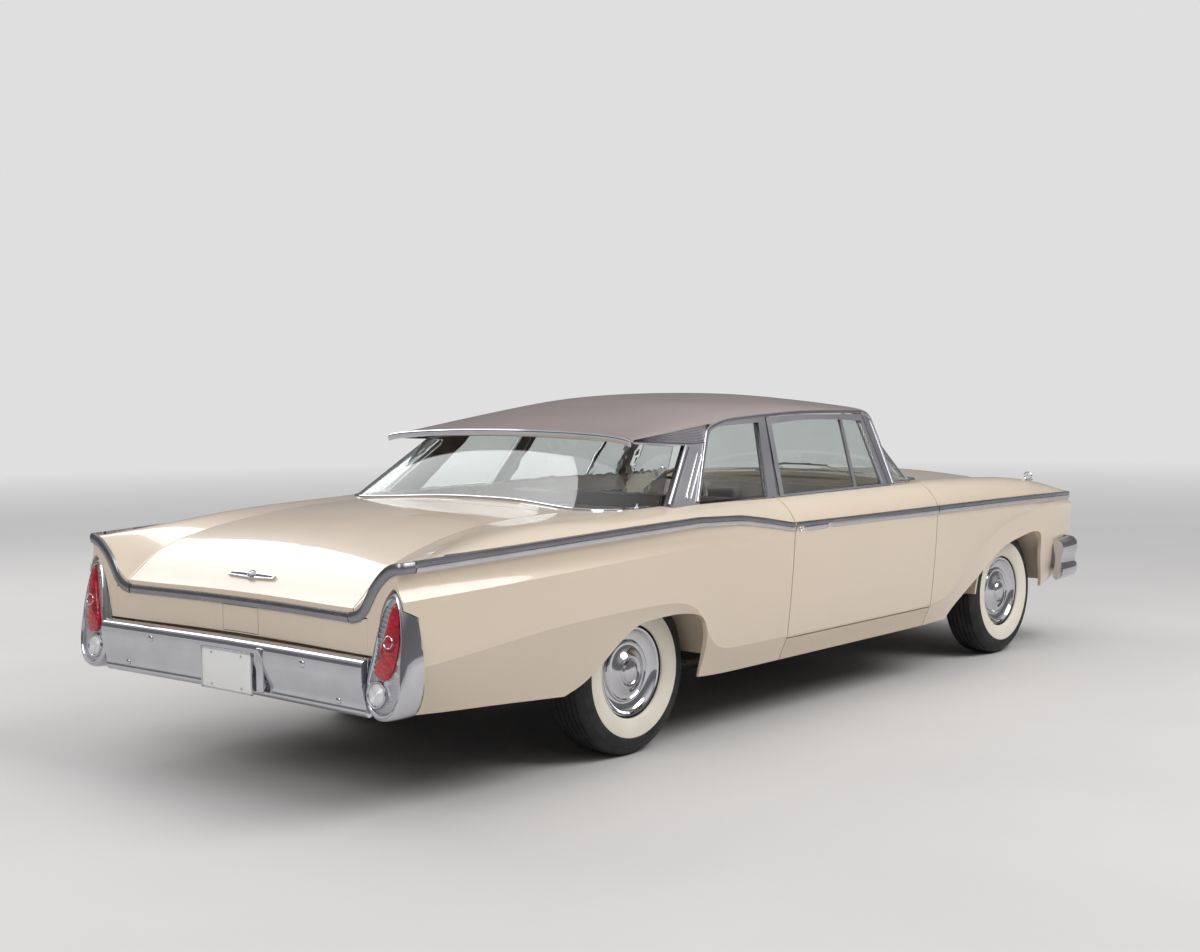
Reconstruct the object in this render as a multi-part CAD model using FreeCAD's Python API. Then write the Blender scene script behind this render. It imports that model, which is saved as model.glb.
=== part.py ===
import FreeCAD, Part
import math
import os

# A full-size two-door post sedan of 1960. Front faces -Y, the car's left side is +X.
# The origin is on the ground under the middle of the overall length.

doc = FreeCAD.newDocument("two_door_sedan")
sheet = doc.addObject("Spreadsheet::Sheet", "Sizes")

# Driving sizes in millimetres. The body lines are drawn on a grid of three modules.
driving_sizes = (
    ("length_module", 1000.0),
    ("width_module", 1000.0),
    ("height_module", 1000.0),
    ("shut_gap", 5.0),
    ("seat_gap", 0.3),
    ("overrun", 60.0),
    ("panel_wall", 22.0),
    ("roof_wall", 26.0),
    ("pillar_depth", 32.0),
    ("seal_depth", 10.0),
    ("glass_thickness", 6.0),
    ("wheelbase", 3200.0),
    ("rear_axle_place", 1350.0),
    ("track", 1524.0),
    ("tyre_radius", 345.0),
    ("tyre_width", 200.0),
    ("rim_radius", 190.0),
    ("rim_wall", 8.0),
    ("rim_width", 150.0),
    ("hub_radius", 70.0),
    ("hub_bore", 58.0),
    ("hub_depth", 34.0),
    ("cover_radius", 186.0),
    ("kingpin_inset", 80.0),
    ("kingpin_radius", 14.0),
    ("axle_tube_radius", 42.0),
    ("differential_radius", 150.0),
    ("rail_height", 110.0),
    ("rail_width", 75.0),
    ("rail_spread", 860.0),
    ("rail_floor", 215.0),
    ("floor_height", 330.0),
    ("floor_wall", 14.0),
    ("tunnel_width", 300.0),
    ("tunnel_height", 130.0),
    ("shaft_radius", 38.0),
    ("exhaust_radius", 28.0),
    ("muffler_radius", 75.0),
    ("muffler_length", 560.0),
    ("spring_width", 60.0),
    ("spring_thickness", 36.0),
    ("seat_width", 1500.0),
    ("cushion_height", 170.0),
    ("cushion_depth", 540.0),
    ("rear_cushion_depth", 480.0),
    ("backrest_height", 410.0),
    ("backrest_thickness", 150.0),
    ("steering_wheel_radius", 215.0),
    ("steering_rim_radius", 11.0),
    ("column_radius", 20.0),
    ("bumper_wall", 14.0),
    ("lamp_radius", 82.0),
    ("lamp_depth", 60.0),
    ("fuel_door_width", 215.0),
    ("fuel_door_height", 98.0),
    ("fuel_door_thickness", 8.0),
    ("fuel_pin_radius", 2.5),
    ("pin_clearance", 0.05),
    ("engine_length", 720.0),
    ("engine_width", 560.0),
    ("engine_height", 520.0),
    ("tank_length", 620.0),
    ("tank_width", 900.0),
    ("tank_height", 150.0),
    ("hinge_pin_radius", 6.0),
)
for row, (alias, value) in enumerate(driving_sizes, start=1):
    sheet.set("A%d" % row, alias)
    sheet.set("B%d" % row, str(value))
    sheet.setAlias("B%d" % row, alias)
doc.recompute()


def size(alias):
    return float(sheet.get(alias))


long_unit = size("length_module")
wide_unit = size("width_module")
high_unit = size("height_module")
shut_gap = size("shut_gap")
seat_gap = size("seat_gap")
overrun = size("overrun")


# Body lines

# Stations along the body, as shares of the length module.
station_shares = (-2.62, -2.53, -2.40, -2.23, -2.04, -1.85, -1.65, -1.45, -1.25, -1.08, -0.90, -0.60, -0.20,
                  0.20, 0.42, 0.60, 0.80, 0.95, 1.03, 1.10, 1.25, 1.45, 1.70, 1.95, 2.20, 2.40, 2.53, 2.62,
                  2.70, 2.80)

# Each body line has its half breadth and its height by station, as shares of the width and height modules.
line_shares = {
    "sill": (
        ((-2.62, 0.850), (-2.30, 0.895), (-2.15, 0.915), (-1.90, 0.925), (-1.30, 0.925), (-0.95, 0.915),
         (0.90, 0.915), (1.05, 0.922), (1.85, 0.925), (2.40, 0.915), (2.62, 0.890), (2.80, 0.860)),
        ((-2.62, 0.430), (-2.30, 0.350), (-1.90, 0.300), (-1.10, 0.285), (-0.90, 0.275), (0.90, 0.272),
         (1.05, 0.287), (1.85, 0.326), (2.20, 0.352), (2.60, 0.372), (2.80, 0.385))),
    "tuck": (
        ((-2.62, 0.915), (-2.40, 0.940), (-2.15, 0.938), (-1.70, 0.932), (-1.30, 0.932), (-0.95, 0.938),
         (0.90, 0.940), (1.10, 0.955), (1.50, 0.955), (1.90, 0.958), (2.40, 0.958), (2.62, 0.945), (2.80, 0.915)),
        ((-2.62, 0.690), (-2.30, 0.640), (-2.00, 0.600), (-1.70, 0.540), (-1.40, 0.450), (-1.10, 0.340),
         (-0.90, 0.330), (0.90, 0.330), (1.03, 0.370), (1.10, 0.500), (1.30, 0.560), (1.70, 0.500), (2.00, 0.480),
         (2.62, 0.460), (2.80, 0.460))),
    "crease": (
        ((-2.62, 0.895), (-2.45, 0.930), (-2.23, 0.950), (-1.70, 0.958), (-1.05, 0.962), (-0.90, 0.963),
         (0.90, 0.965), (1.10, 1.000), (1.95, 1.000), (2.40, 0.990), (2.62, 0.978), (2.80, 0.950)),
        ((-2.62, 0.792), (-2.23, 0.792), (-2.04, 0.786), (-1.69, 0.744), (-1.47, 0.664), (-1.20, 0.519),
         (-1.05, 0.387), (-0.90, 0.384), (0.93, 0.386), (1.00, 0.420), (1.07, 0.592), (1.19, 0.634),
         (1.45, 0.633), (1.95, 0.620), (2.62, 0.554), (2.80, 0.545))),
    "flank": (
        ((-2.62, 0.885), (-2.45, 0.920), (-2.23, 0.945), (-1.70, 0.975), (-1.05, 0.995), (-0.60, 0.996),
         (0.90, 0.998), (1.30, 1.004), (1.95, 1.000), (2.40, 0.992), (2.62, 0.980), (2.80, 0.955)),
        ((-2.62, 0.800), (-2.23, 0.805), (-1.70, 0.785), (-1.20, 0.680), (-0.90, 0.650), (0.60, 0.650),
         (1.10, 0.700), (1.50, 0.710), (2.00, 0.700), (2.62, 0.660), (2.80, 0.650))),
    "flank_top": (
        ((-2.62, 0.880), (-2.40, 0.918), (-2.00, 0.958), (-1.50, 0.985), (-1.00, 0.999), (-0.50, 1.006),
         (0.40, 1.007), (0.80, 1.008), (1.40, 1.004), (1.90, 0.998), (2.30, 0.988), (2.62, 0.972), (2.80, 0.950)),
        ((-2.62, 0.808), (-2.40, 0.815), (-2.00, 0.825), (-1.50, 0.822), (-0.50, 0.820), (0.40, 0.825),
         (0.77, 0.840), (1.10, 0.845), (1.50, 0.832), (1.90, 0.815), (2.30, 0.800), (2.62, 0.790), (2.80, 0.780))),
    "cove": (
        ((-2.62, 0.882), (-2.40, 0.920), (-2.00, 0.962), (-1.50, 0.988), (-1.00, 1.002), (-0.50, 1.009),
         (0.40, 1.008), (0.80, 0.998), (1.40, 0.976), (1.90, 0.960), (2.30, 0.940), (2.62, 0.922), (2.80, 0.900)),
        ((-2.62, 0.828), (-2.40, 0.833), (-2.00, 0.846), (-1.50, 0.848), (-0.50, 0.852), (0.40, 0.858),
         (0.77, 0.895), (1.10, 0.900), (1.50, 0.888), (1.90, 0.872), (2.30, 0.858), (2.62, 0.850), (2.80, 0.842))),
    "fin_edge": (
        ((-2.62, 0.885), (-2.40, 0.925), (-2.00, 0.968), (-1.50, 0.992), (-1.00, 1.004), (-0.50, 1.012),
         (0.00, 1.015), (0.40, 1.012), (1.10, 1.012), (1.50, 1.006), (1.90, 0.995), (2.30, 0.975), (2.60, 0.955),
         (2.70, 0.948), (2.80, 0.930)),
        ((-2.62, 0.844), (-2.40, 0.852), (-2.00, 0.864), (-1.50, 0.872), (-1.00, 0.877), (-0.50, 0.880),
         (0.00, 0.883), (0.42, 0.887), (0.62, 0.920), (0.80, 0.945), (1.10, 0.957), (1.50, 0.948), (1.90, 0.936),
         (2.30, 0.922), (2.60, 0.911), (2.70, 0.908), (2.80, 0.900))),
    "shoulder": (
        ((-2.62, 0.875), (-2.40, 0.905), (-2.00, 0.935), (-1.50, 0.960), (-1.00, 0.975), (-0.50, 0.985),
         (0.42, 0.980), (1.10, 0.975), (1.50, 0.960), (1.90, 0.930), (2.30, 0.930), (2.60, 0.928), (2.80, 0.900)),
        ((-2.62, 0.858), (-2.40, 0.885), (-2.00, 0.930), (-1.50, 0.955), (-1.00, 0.958), (-0.50, 0.955),
         (0.42, 0.955), (0.80, 0.975), (1.10, 0.985), (1.50, 0.984), (1.90, 0.978), (2.30, 0.944), (2.60, 0.918),
         (2.70, 0.908), (2.80, 0.890))),
    "ridge": (
        ((-2.62, 0.830), (-2.23, 0.850), (-1.65, 0.855), (-1.00, 0.870), (-0.60, 0.886), (0.95, 0.886),
         (1.20, 0.870), (1.45, 0.855), (1.95, 0.835), (2.40, 0.865), (2.62, 0.880), (2.80, 0.880)),
        ((-2.62, 0.858), (-2.44, 0.912), (-2.15, 0.962), (-1.83, 0.992), (-1.45, 1.008), (-1.00, 1.028),
         (-0.60, 1.034), (0.95, 1.034), (1.20, 1.022), (1.45, 1.008), (1.70, 1.000), (1.95, 0.995), (2.15, 0.978),
         (2.40, 0.945), (2.62, 0.912), (2.70, 0.890), (2.80, 0.870))),
    "saddle": (
        ((-2.62, 0.740), (-2.23, 0.760), (-1.20, 0.790), (0.90, 0.790), (1.45, 0.745), (1.95, 0.725), (2.40, 0.770),
         (2.62, 0.800), (2.80, 0.800)),
        ((-2.62, 0.850), (-2.44, 0.898), (-2.15, 0.945), (-1.83, 0.974), (-1.45, 0.990), (-1.00, 0.998),
         (0.95, 1.006), (1.45, 1.004), (1.70, 1.000), (1.95, 0.990), (2.15, 0.968), (2.40, 0.925), (2.53, 0.895),
         (2.62, 0.862), (2.70, 0.815), (2.80, 0.760))),
    "valley": (
        ((-2.62, 0.640), (-2.23, 0.665), (-1.20, 0.700), (0.90, 0.700), (1.45, 0.640), (1.95, 0.620), (2.20, 0.640),
         (2.40, 0.662), (2.62, 0.700), (2.80, 0.705)),
        ((-2.62, 0.845), (-2.44, 0.890), (-2.15, 0.935), (-1.83, 0.964), (-1.45, 0.982), (-1.00, 0.992),
         (0.95, 1.004), (1.45, 1.004), (1.70, 1.000), (1.95, 0.988), (2.10, 0.973), (2.30, 0.935), (2.40, 0.910),
         (2.53, 0.868), (2.62, 0.815), (2.70, 0.735), (2.80, 0.690))),
    "dome": (
        ((-2.62, 0.340), (-1.20, 0.350), (0.90, 0.350), (2.80, 0.350)),
        ((-2.62, 0.850), (-2.44, 0.905), (-2.15, 0.982), (-1.83, 1.000), (-1.45, 1.010), (-1.00, 1.014),
         (0.95, 1.020), (1.30, 1.022), (1.45, 1.018), (1.70, 1.012), (1.95, 1.002), (2.10, 0.986), (2.30, 0.948),
         (2.40, 0.916), (2.53, 0.860), (2.62, 0.790), (2.70, 0.715), (2.80, 0.670))),
    "centre": (
        ((-2.62, 0.000), (2.80, 0.000)),
        ((-2.62, 0.852), (-2.44, 0.910), (-2.15, 0.998), (-1.83, 1.014), (-1.45, 1.018), (-1.00, 1.020),
         (0.95, 1.024), (1.30, 1.026), (1.45, 1.022), (1.70, 1.016), (1.95, 1.004), (2.10, 0.988), (2.30, 0.950),
         (2.40, 0.916), (2.53, 0.858), (2.62, 0.785), (2.70, 0.710), (2.80, 0.665))),
}

# The lines are joined by smooth strips. A line that ends a strip is a crease in the sheet metal.
body_strips = (
    ("sill", "tuck", "crease"),
    ("crease", "flank", "flank_top"),
    ("flank_top", "cove", "fin_edge"),
    ("fin_edge", "shoulder", "ridge", "saddle", "valley"),
    ("valley", "dome", "centre"),
)
body_order = ("sill", "tuck", "crease", "flank", "flank_top", "cove", "fin_edge", "shoulder", "ridge", "saddle",
              "valley", "dome", "centre")

roof_station_shares = (-0.80, -0.62, -0.40, -0.15, 0.10, 0.40, 0.65, 0.90, 1.10, 1.28)
roof_line_shares = {
    "rail": (
        ((-0.80, 0.712), (-0.60, 0.707), (-0.10, 0.703), (0.25, 0.708), (0.50, 0.713), (0.80, 0.723),
         (1.28, 0.750)),
        ((-0.80, 1.345), (-0.60, 1.357), (-0.10, 1.366), (0.25, 1.356), (0.50, 1.346), (0.80, 1.326),
         (1.28, 1.272))),
    "rail_top": (
        ((-0.80, 0.690), (-0.60, 0.688), (-0.10, 0.686), (0.50, 0.696), (1.28, 0.738)),
        ((-0.80, 1.366), (-0.60, 1.380), (-0.10, 1.394), (0.50, 1.374), (0.80, 1.350), (1.28, 1.284))),
    "crown": (
        ((-0.80, 0.470), (1.28, 0.480)),
        ((-0.80, 1.392), (-0.60, 1.422), (-0.10, 1.462), (0.40, 1.450), (0.80, 1.392), (1.28, 1.290))),
    "spine": (
        ((-0.80, 0.0), (1.28, 0.0)),
        ((-0.80, 1.398), (-0.60, 1.430), (-0.10, 1.474), (0.40, 1.464), (0.80, 1.404), (1.28, 1.294))),
}
roof_strips = (("rail", "rail_top", "crown", "spine"),)
roof_order = ("rail", "rail_top", "crown", "spine")


def along(table, place):
    """Read a table of (place, value) pairs, straight between the pairs."""
    if place <= table[0][0]:
        return table[0][1]
    for (place_0, value_0), (place_1, value_1) in zip(table, table[1:]):
        if place <= place_1:
            part_way = (place - place_0) / (place_1 - place_0)
            return value_0 + part_way * (value_1 - value_0)
    return table[-1][1]


def section_points(lines, order, place_share, inset):
    """Half a cross-section of the body, as (x, z) by line name, set in by the wall."""
    points = []
    for name in order:
        breadth_table, height_table = lines[name]
        points.append((along(breadth_table, place_share) * wide_unit, along(height_table, place_share) * high_unit))
    if not inset:
        return dict(zip(order, points))
    moved = []
    last = len(points) - 1
    for index, (x, z) in enumerate(points):
        before = points[max(index - 1, 0)]
        after = points[min(index + 1, last)]
        step_in = (x - before[0], z - before[1])
        step_out = (after[0] - x, after[1] - z)
        normals = []
        for step in (step_in, step_out):
            reach = math.hypot(step[0], step[1])
            if reach > 0:
                normals.append((-step[1] / reach, step[0] / reach))
        normal_x = sum(normal[0] for normal in normals)
        normal_z = sum(normal[1] for normal in normals)
        reach = math.hypot(normal_x, normal_z)
        normal_x = normal_x / reach
        normal_z = normal_z / reach
        spread = max(0.75, normal_x * normals[0][0] + normal_z * normals[0][1])
        if index == last:
            moved.append((0.0, z - inset))
        else:
            moved.append((x + inset * normal_x / spread, z + inset * normal_z / spread))
    first_x, first_z = moved[0]
    moved[0] = (first_x, first_z - overrun)
    return dict(zip(order, moved))


def clamped(count, degree):
    """Knots and multiplicities of an even clamped spline."""
    spans = count - degree
    knots = [step / spans for step in range(spans + 1)]
    return knots, [degree + 1] + [1] * (spans - 1) + [degree + 1]


def strip_face(rows):
    """One smooth face whose poles are the given rows of points."""
    cross_degree = min(3, len(rows) - 1)
    run_degree = min(3, len(rows[0]) - 1)
    cross_knots, cross_mults = clamped(len(rows), cross_degree)
    run_knots, run_mults = clamped(len(rows[0]), run_degree)
    surface = Part.BSplineSurface()
    surface.buildFromPolesMultsKnots(rows, cross_mults, run_mults, cross_knots, run_knots, False, False,
                                     cross_degree, run_degree)
    return surface.toShape()


def joined(faces):
    """Close a set of faces to one solid."""
    shell = Part.makeShell(faces)
    shell.sewShape()
    solid = Part.makeSolid(Part.Shell(shell.Faces))
    if solid.Volume < 0:
        solid.reverse()
    return solid


def end_face(edges):
    """The flat end of a lofted form."""
    return Part.Face(Part.Wire(Part.__sortEdges__(edges)))


def lofted_form(lines, order, strips, stations, inset):
    """The closed form over a set of body lines, mirrored to both sides."""
    sections = [section_points(lines, order, station, inset) for station in stations]
    places = [station * long_unit for station in stations]

    def line_row(name, side):
        return [FreeCAD.Vector(side * section[name][0], place, section[name][1])
                for section, place in zip(sections, places)]

    faces = []
    for strip in strips[:-1]:
        for side in (1, -1):
            faces.append(strip_face([line_row(name, side) for name in strip]))
    top = strips[-1]
    rows = [line_row(name, 1) for name in top]
    rows += [line_row(name, -1) for name in reversed(top[:-1])]
    faces.append(strip_face(rows))
    faces.append(strip_face([line_row(order[0], 1), line_row(order[0], -1)]))
    for place in (places[0], places[-1]):
        edges = []
        for face in faces:
            for edge in face.Edges:
                box = edge.BoundBox
                if abs(box.YMin - place) < seat_gap and abs(box.YMax - place) < seat_gap:
                    edges.append(edge)
        faces.append(end_face(edges))
    return joined(faces)


def point(x_share, y_share, z_share):
    return FreeCAD.Vector(x_share * wide_unit, y_share * long_unit, z_share * high_unit)


def flat_face(points):
    return Part.Face(Part.makePolygon(list(points) + [points[0]]))


def side_prism(outline_shares, x_start, x_end):
    """A prism across the car over an outline of (y, z) shares."""
    points = [FreeCAD.Vector(x_start, y * long_unit, z * high_unit) for y, z in outline_shares]
    return flat_face(points).extrude(FreeCAD.Vector(x_end - x_start, 0, 0))


def plan_prism(outline_shares, z_start, z_end):
    """An upright prism over an outline of (x, y) shares."""
    points = [FreeCAD.Vector(x * wide_unit, y * long_unit, z_start) for x, y in outline_shares]
    return flat_face(points).extrude(FreeCAD.Vector(0, 0, z_end - z_start))


def cross_prism(outline_shares, y_start, y_end):
    """A prism along the car over an outline of (x, z) shares."""
    points = [FreeCAD.Vector(x * wide_unit, y_start, z * high_unit) for x, z in outline_shares]
    return flat_face(points).extrude(FreeCAD.Vector(0, y_end - y_start, 0))


def smooth_face(points, closed_by):
    """A face bounded by a spline through the points and by straight runs through closed_by."""
    curve = Part.BSplineCurve()
    curve.interpolate(points)
    corners = [points[-1]] + list(closed_by) + [points[0]]
    edges = [curve.toShape()]
    for start, end in zip(corners, corners[1:]):
        edges.append(Part.LineSegment(start, end).toShape())
    return Part.Face(Part.Wire(edges))


def block(low, high):
    """A box between two corners."""
    return Part.makeBox(high.x - low.x, high.y - low.y, high.z - low.z, low)


def mirrored(shape):
    return shape.mirror(FreeCAD.Vector(0, 0, 0), FreeCAD.Vector(1, 0, 0))


def solids_of(shape):
    found = shape.Solids
    if len(found) == 1:
        return found[0]
    return Part.makeCompound(found)


def largest(shape):
    return max(shape.Solids, key=lambda solid: solid.Volume)


pieces = []


def keep(label, shape):
    """Store a sub-part of the document under its own label."""
    item = doc.addObject("Part::Feature", label)
    item.Label = label
    item.Shape = shape
    item.Placement = FreeCAD.Placement()
    pieces.append(item)
    return item



outer_form = lofted_form(line_shares, body_order, body_strips, station_shares, 0)
inner_form = lofted_form(line_shares, body_order, body_strips, station_shares[2:-2], size("panel_wall"))
roof_form = lofted_form(roof_line_shares, roof_order, roof_strips, roof_station_shares, 0)
roof_inner = lofted_form(roof_line_shares, roof_order, roof_strips, roof_station_shares, size("roof_wall"))

wheelbase = size("wheelbase")
rear_axle = size("rear_axle_place")
front_axle = rear_axle - wheelbase
wheel_height = size("tyre_radius")
half_track = size("track") / 2
gap_share = shut_gap / long_unit
wide_gap_share = shut_gap / wide_unit
high_gap_share = shut_gap / high_unit


# Cut lines of the panels, as shares of the modules

belt_share = 1.000
sill_top_share = 0.376
door_front_share = -0.866
door_rear_share = 0.403
hood_rear_share = -1.190
lid_front_share = 1.572
tail_line_share = 0.717
cowl_front_share = -1.185
nose_share = -2.620

# The rear edge of the body in plan: half breadth and place.
tail_curve_shares = ((0.0, 2.666), (0.35, 2.676), (0.68, 2.699), (0.95, 2.706))

# Wheel openings, as shares measured from each axle and up from the ground.
front_opening_shares = ((0.760, 0.180), (0.754, 0.285), (0.640, 0.372), (0.444, 0.470), (0.130, 0.615), (-0.060, 0.650),
                        (-0.243, 0.662), (-0.292, 0.645), (-0.312, 0.560), (-0.350, 0.400), (-0.372, 0.180))
rear_opening_shares = ((-0.350, 0.180), (-0.346, 0.390), (-0.325, 0.490), (-0.285, 0.548), (-0.220, 0.570),
                       (0.000, 0.574), (0.100, 0.562), (0.270, 0.452), (0.440, 0.347), (0.520, 0.318),
                       (0.560, 0.180))


def opening_cut(axle, outline_shares, side):
    """The prism that opens one wheel arch, smooth over the top."""
    x_in = side * half_track
    points = [FreeCAD.Vector(x_in, axle + y * long_unit, z * high_unit) for y, z in outline_shares]
    face = smooth_face(points, [])
    return face.extrude(FreeCAD.Vector(side * (wide_unit - half_track + overrun * 2), 0, 0))


# Skins

skin = outer_form.cut(inner_form)

tail_points = [point(x, y, 0) for x, y in reversed(tail_curve_shares)]
tail_points += [point(-x, y, 0) for x, y in tail_curve_shares[1:]]
tail_trim = smooth_face(tail_points, [point(-1.2, 2.706, 0), point(-1.2, -3.0, 0), point(1.2, -3.0, 0),
                                      point(1.2, 2.706, 0)])
tail_trim = tail_trim.extrude(point(0, 0, 1.2))
skin = skin.common(tail_trim)

hood_outline_shares = ((0.648, nose_share), (0.668, -2.23), (0.700, hood_rear_share))
lid_outline_shares = ((0.628, lid_front_share), (0.612, 1.95), (0.640, 2.22), (0.668, 2.42), (0.700, 2.80))


def mirrored_outline(half_shares, spread_share, end_share):
    """A closed outline from its right half, widened by the gap."""
    right = [(x + spread_share, y) for x, y in half_shares]
    left = [(-x - spread_share, y) for x, y in reversed(half_shares)]
    right[0] = (right[0][0], right[0][1] - end_share)
    right[-1] = (right[-1][0], right[-1][1] + end_share)
    left[0] = (left[0][0], left[0][1] + end_share)
    left[-1] = (left[-1][0], left[-1][1] - end_share)
    return right + left


low = overrun
high = high_unit * 1.6
hood_tool = plan_prism(mirrored_outline(hood_outline_shares, 0, 0), high_unit * 0.812, high)
hood_hole = plan_prism(mirrored_outline(hood_outline_shares, wide_gap_share, gap_share), high_unit * 0.8, high)
lid_tool = plan_prism(mirrored_outline(lid_outline_shares, 0, 0), tail_line_share * high_unit, high)
lid_hole = plan_prism(mirrored_outline(lid_outline_shares, wide_gap_share, gap_share),
                      (tail_line_share - high_gap_share) * high_unit, high)

cabin_outline_shares = ((0.0, -1.090), (0.540, -1.055), (0.760, -0.950), (0.790, -0.800), (0.790, -0.600),
                        (0.846, -0.560), (0.846, 1.140), (0.830, 1.290), (0.780, 1.410), (0.560, 1.430),
                        (0.300, 1.368), (0.0, 1.352))
cabin_hole = plan_prism(list(cabin_outline_shares) + [(-x, y) for x, y in reversed(cabin_outline_shares[1:-1])],
                        high_unit * 0.9, high)

front_end_cut = block(point(-1.2, -3.0, 0), point(1.2, door_front_share - gap_share, 1.6))
rear_end_cut = block(point(-1.2, door_rear_share + gap_share, 0), point(1.2, 3.0, 1.6))

belt_cut = block(point(-0.905, -0.9, belt_share), point(0.905, 1.152, 1.2))
nose_cut = block(point(-1.2, -3.0, 0), point(1.2, -2.500, 0.608))
under_nose_cut = block(point(-0.850, -3.0, 0), point(0.850, -2.350, 0.620))
hood = skin.common(hood_tool)
body_left = skin.cut(hood_hole).cut(lid_hole).cut(cabin_hole).cut(belt_cut).cut(nose_cut).cut(under_nose_cut)

# The mouth between the front fenders, where the grille sits.
mouth_shares = ((0.850, 0.620), (0.850, 0.782), (0.640, 0.806), (-0.640, 0.806), (-0.850, 0.782), (-0.850, 0.620))
mouth_depth = long_unit * 0.14
mouth_cut = cross_prism(mouth_shares, nose_share * long_unit - overrun, nose_share * long_unit + mouth_depth)
engine_bay_cut = cross_prism(((0.60, 0.45), (0.60, 0.805), (-0.60, 0.805), (-0.60, 0.45)),
                             nose_share * long_unit - overrun, -2.30 * long_unit)

front_skin = body_left.common(front_end_cut).cut(mouth_cut).cut(engine_bay_cut)
cowl_zone = block(point(-0.795, cowl_front_share, 0.85), point(0.795, door_front_share - gap_share, 1.6))
cowl_hole = block(point(-0.795 - wide_gap_share, cowl_front_share - gap_share, 0.85),
                  point(0.795 + wide_gap_share, door_front_share, 1.6))
fender_zone = block(point(0.30, -3.0, 0), point(1.2, door_front_share - gap_share, 1.6))


def ring_wall(axle, radius, x_start, x_end, wall):
    """Half a drum over a wheel with its inner wall."""
    length = x_end - x_start
    base = FreeCAD.Vector(x_start, axle, wheel_height)
    outer = Part.makeCylinder(radius, length, base, FreeCAD.Vector(1, 0, 0))
    hollow = Part.makeCylinder(radius - wall, length, base + FreeCAD.Vector(wall, 0, 0), FreeCAD.Vector(1, 0, 0))
    upper = block(FreeCAD.Vector(x_start - overrun, axle - radius - overrun, wheel_height + overrun / 2),
                  FreeCAD.Vector(x_end + overrun, axle + radius + overrun, wheel_height + radius + overrun))
    return outer.cut(hollow).common(upper)


front_house_radius = wheel_height * 1.22
rear_house_radius = wheel_height * 1.17
house_wall = size("floor_wall")

fender = front_skin.common(fender_zone).cut(cowl_hole).cut(opening_cut(front_axle, front_opening_shares, 1))
arm_window = block(FreeCAD.Vector(wide_unit * 0.40, front_axle - long_unit * 0.13, 0),
                   FreeCAD.Vector(wide_unit * 0.60, front_axle + long_unit * 0.13, high_unit * 0.56))
front_house = ring_wall(front_axle, front_house_radius, wide_unit * 0.475, wide_unit, house_wall).common(inner_form)
apron = block(point(0.600, -1.500, 0.500), FreeCAD.Vector(wide_unit * 0.612, long_unit * -1.030 - seat_gap, high_unit * 0.900))
fender_left = largest(fender).fuse([front_house.cut(arm_window), apron])

cowl = largest(front_skin.common(cowl_zone))
firewall = block(point(-0.850, -1.030, 0.330), point(0.850, -1.016, 0.930))
firewall = firewall.fuse(block(point(-0.680, -1.030, 0.900), point(0.680, -1.016, 0.985)))
firewall = firewall.cut(block(point(-0.16, -1.1, 0.30), point(0.16, -0.9, 0.62)))
cowl_sides = []
for side in (1, -1):
    side_panel = block(point(0.815, -1.030, 0.3443), point(0.850, -0.860, 0.930))
    side_panel = side_panel.fuse(block(point(0.815, -0.865, 0.3443), point(0.850, -0.600, belt_share)))
    cowl_sides.append(side_panel if side == 1 else mirrored(side_panel))
seal_form = inner_form.copy()
seal_form.translate(FreeCAD.Vector(0, 0, -seat_gap))
seal_depth = size("seal_depth")
seal_core = inner_form.copy()
seal_core.translate(FreeCAD.Vector(0, 0, -seat_gap - seal_depth))
seal_shell = seal_form.cut(seal_core)
hood_ledge = seal_shell.common(block(point(-0.670, -1.215, 0.85), point(0.670, -1.150, 1.2)))
ledge_joint = block(point(-0.670, -1.184, 0.968), point(0.670, -1.150, 0.984))
hinge_leaves = []
for side in (1, -1):
    for z_share in (0.450, 0.760):
        leaf = block(point(0.840, -0.905, z_share),
                     FreeCAD.Vector(wide_unit * 0.930, door_front_share * long_unit - seat_gap, (z_share + 0.090) * high_unit))
        hinge_leaves.append(leaf if side == 1 else mirrored(leaf))
cowl_piece = cowl.fuse([firewall, hood_ledge, ledge_joint] + cowl_sides + hinge_leaves)

# Doors
door_outline_shares = ((door_front_share, sill_top_share), (door_front_share, belt_share),
                       (door_rear_share, belt_share), (door_rear_share, sill_top_share))
door_inner_shares = ((0.868, 0.30), (0.868, 0.400), (0.900, 0.460), (0.908, 0.840), (0.868, 0.930), (0.842, 1.10),
                     (1.20, 1.10), (1.20, 0.30))
door_block = outer_form.common(side_prism(door_outline_shares, wide_unit * 0.7, wide_unit * 1.2))
door_block = door_block.common(cross_prism(door_inner_shares, -long_unit, long_unit))
door_block = door_block.cut(block(point(0.70, -1.0, 0.30), point(0.862, -0.590, 1.10)))

# The upper body leans in from the belt.
belt_half = wide_unit * 0.882
lean = 0.49


def side_slab(depth_out, depth_in, outline_shares):
    """A piece of the leaning side of the upper body over an outline of (y, z) shares."""
    z_low = high_unit * 0.97
    z_high = high_unit * 1.42
    x_low = belt_half - lean * (z_low - belt_share * high_unit)
    x_high = belt_half - lean * (z_high - belt_share * high_unit)
    y_start = -long_unit
    corners = [FreeCAD.Vector(x_low - depth_out, y_start, z_low), FreeCAD.Vector(x_high - depth_out, y_start, z_high),
               FreeCAD.Vector(x_high - depth_in, y_start, z_high), FreeCAD.Vector(x_low - depth_in, y_start, z_low)]
    slab = flat_face(corners).extrude(FreeCAD.Vector(0, long_unit * 2.5, 0))
    return slab.common(side_prism(outline_shares, wide_unit * 0.5, wide_unit * 1.2))


def rail_height(place_share):
    return along(roof_line_shares["rail"][1], place_share)


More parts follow.
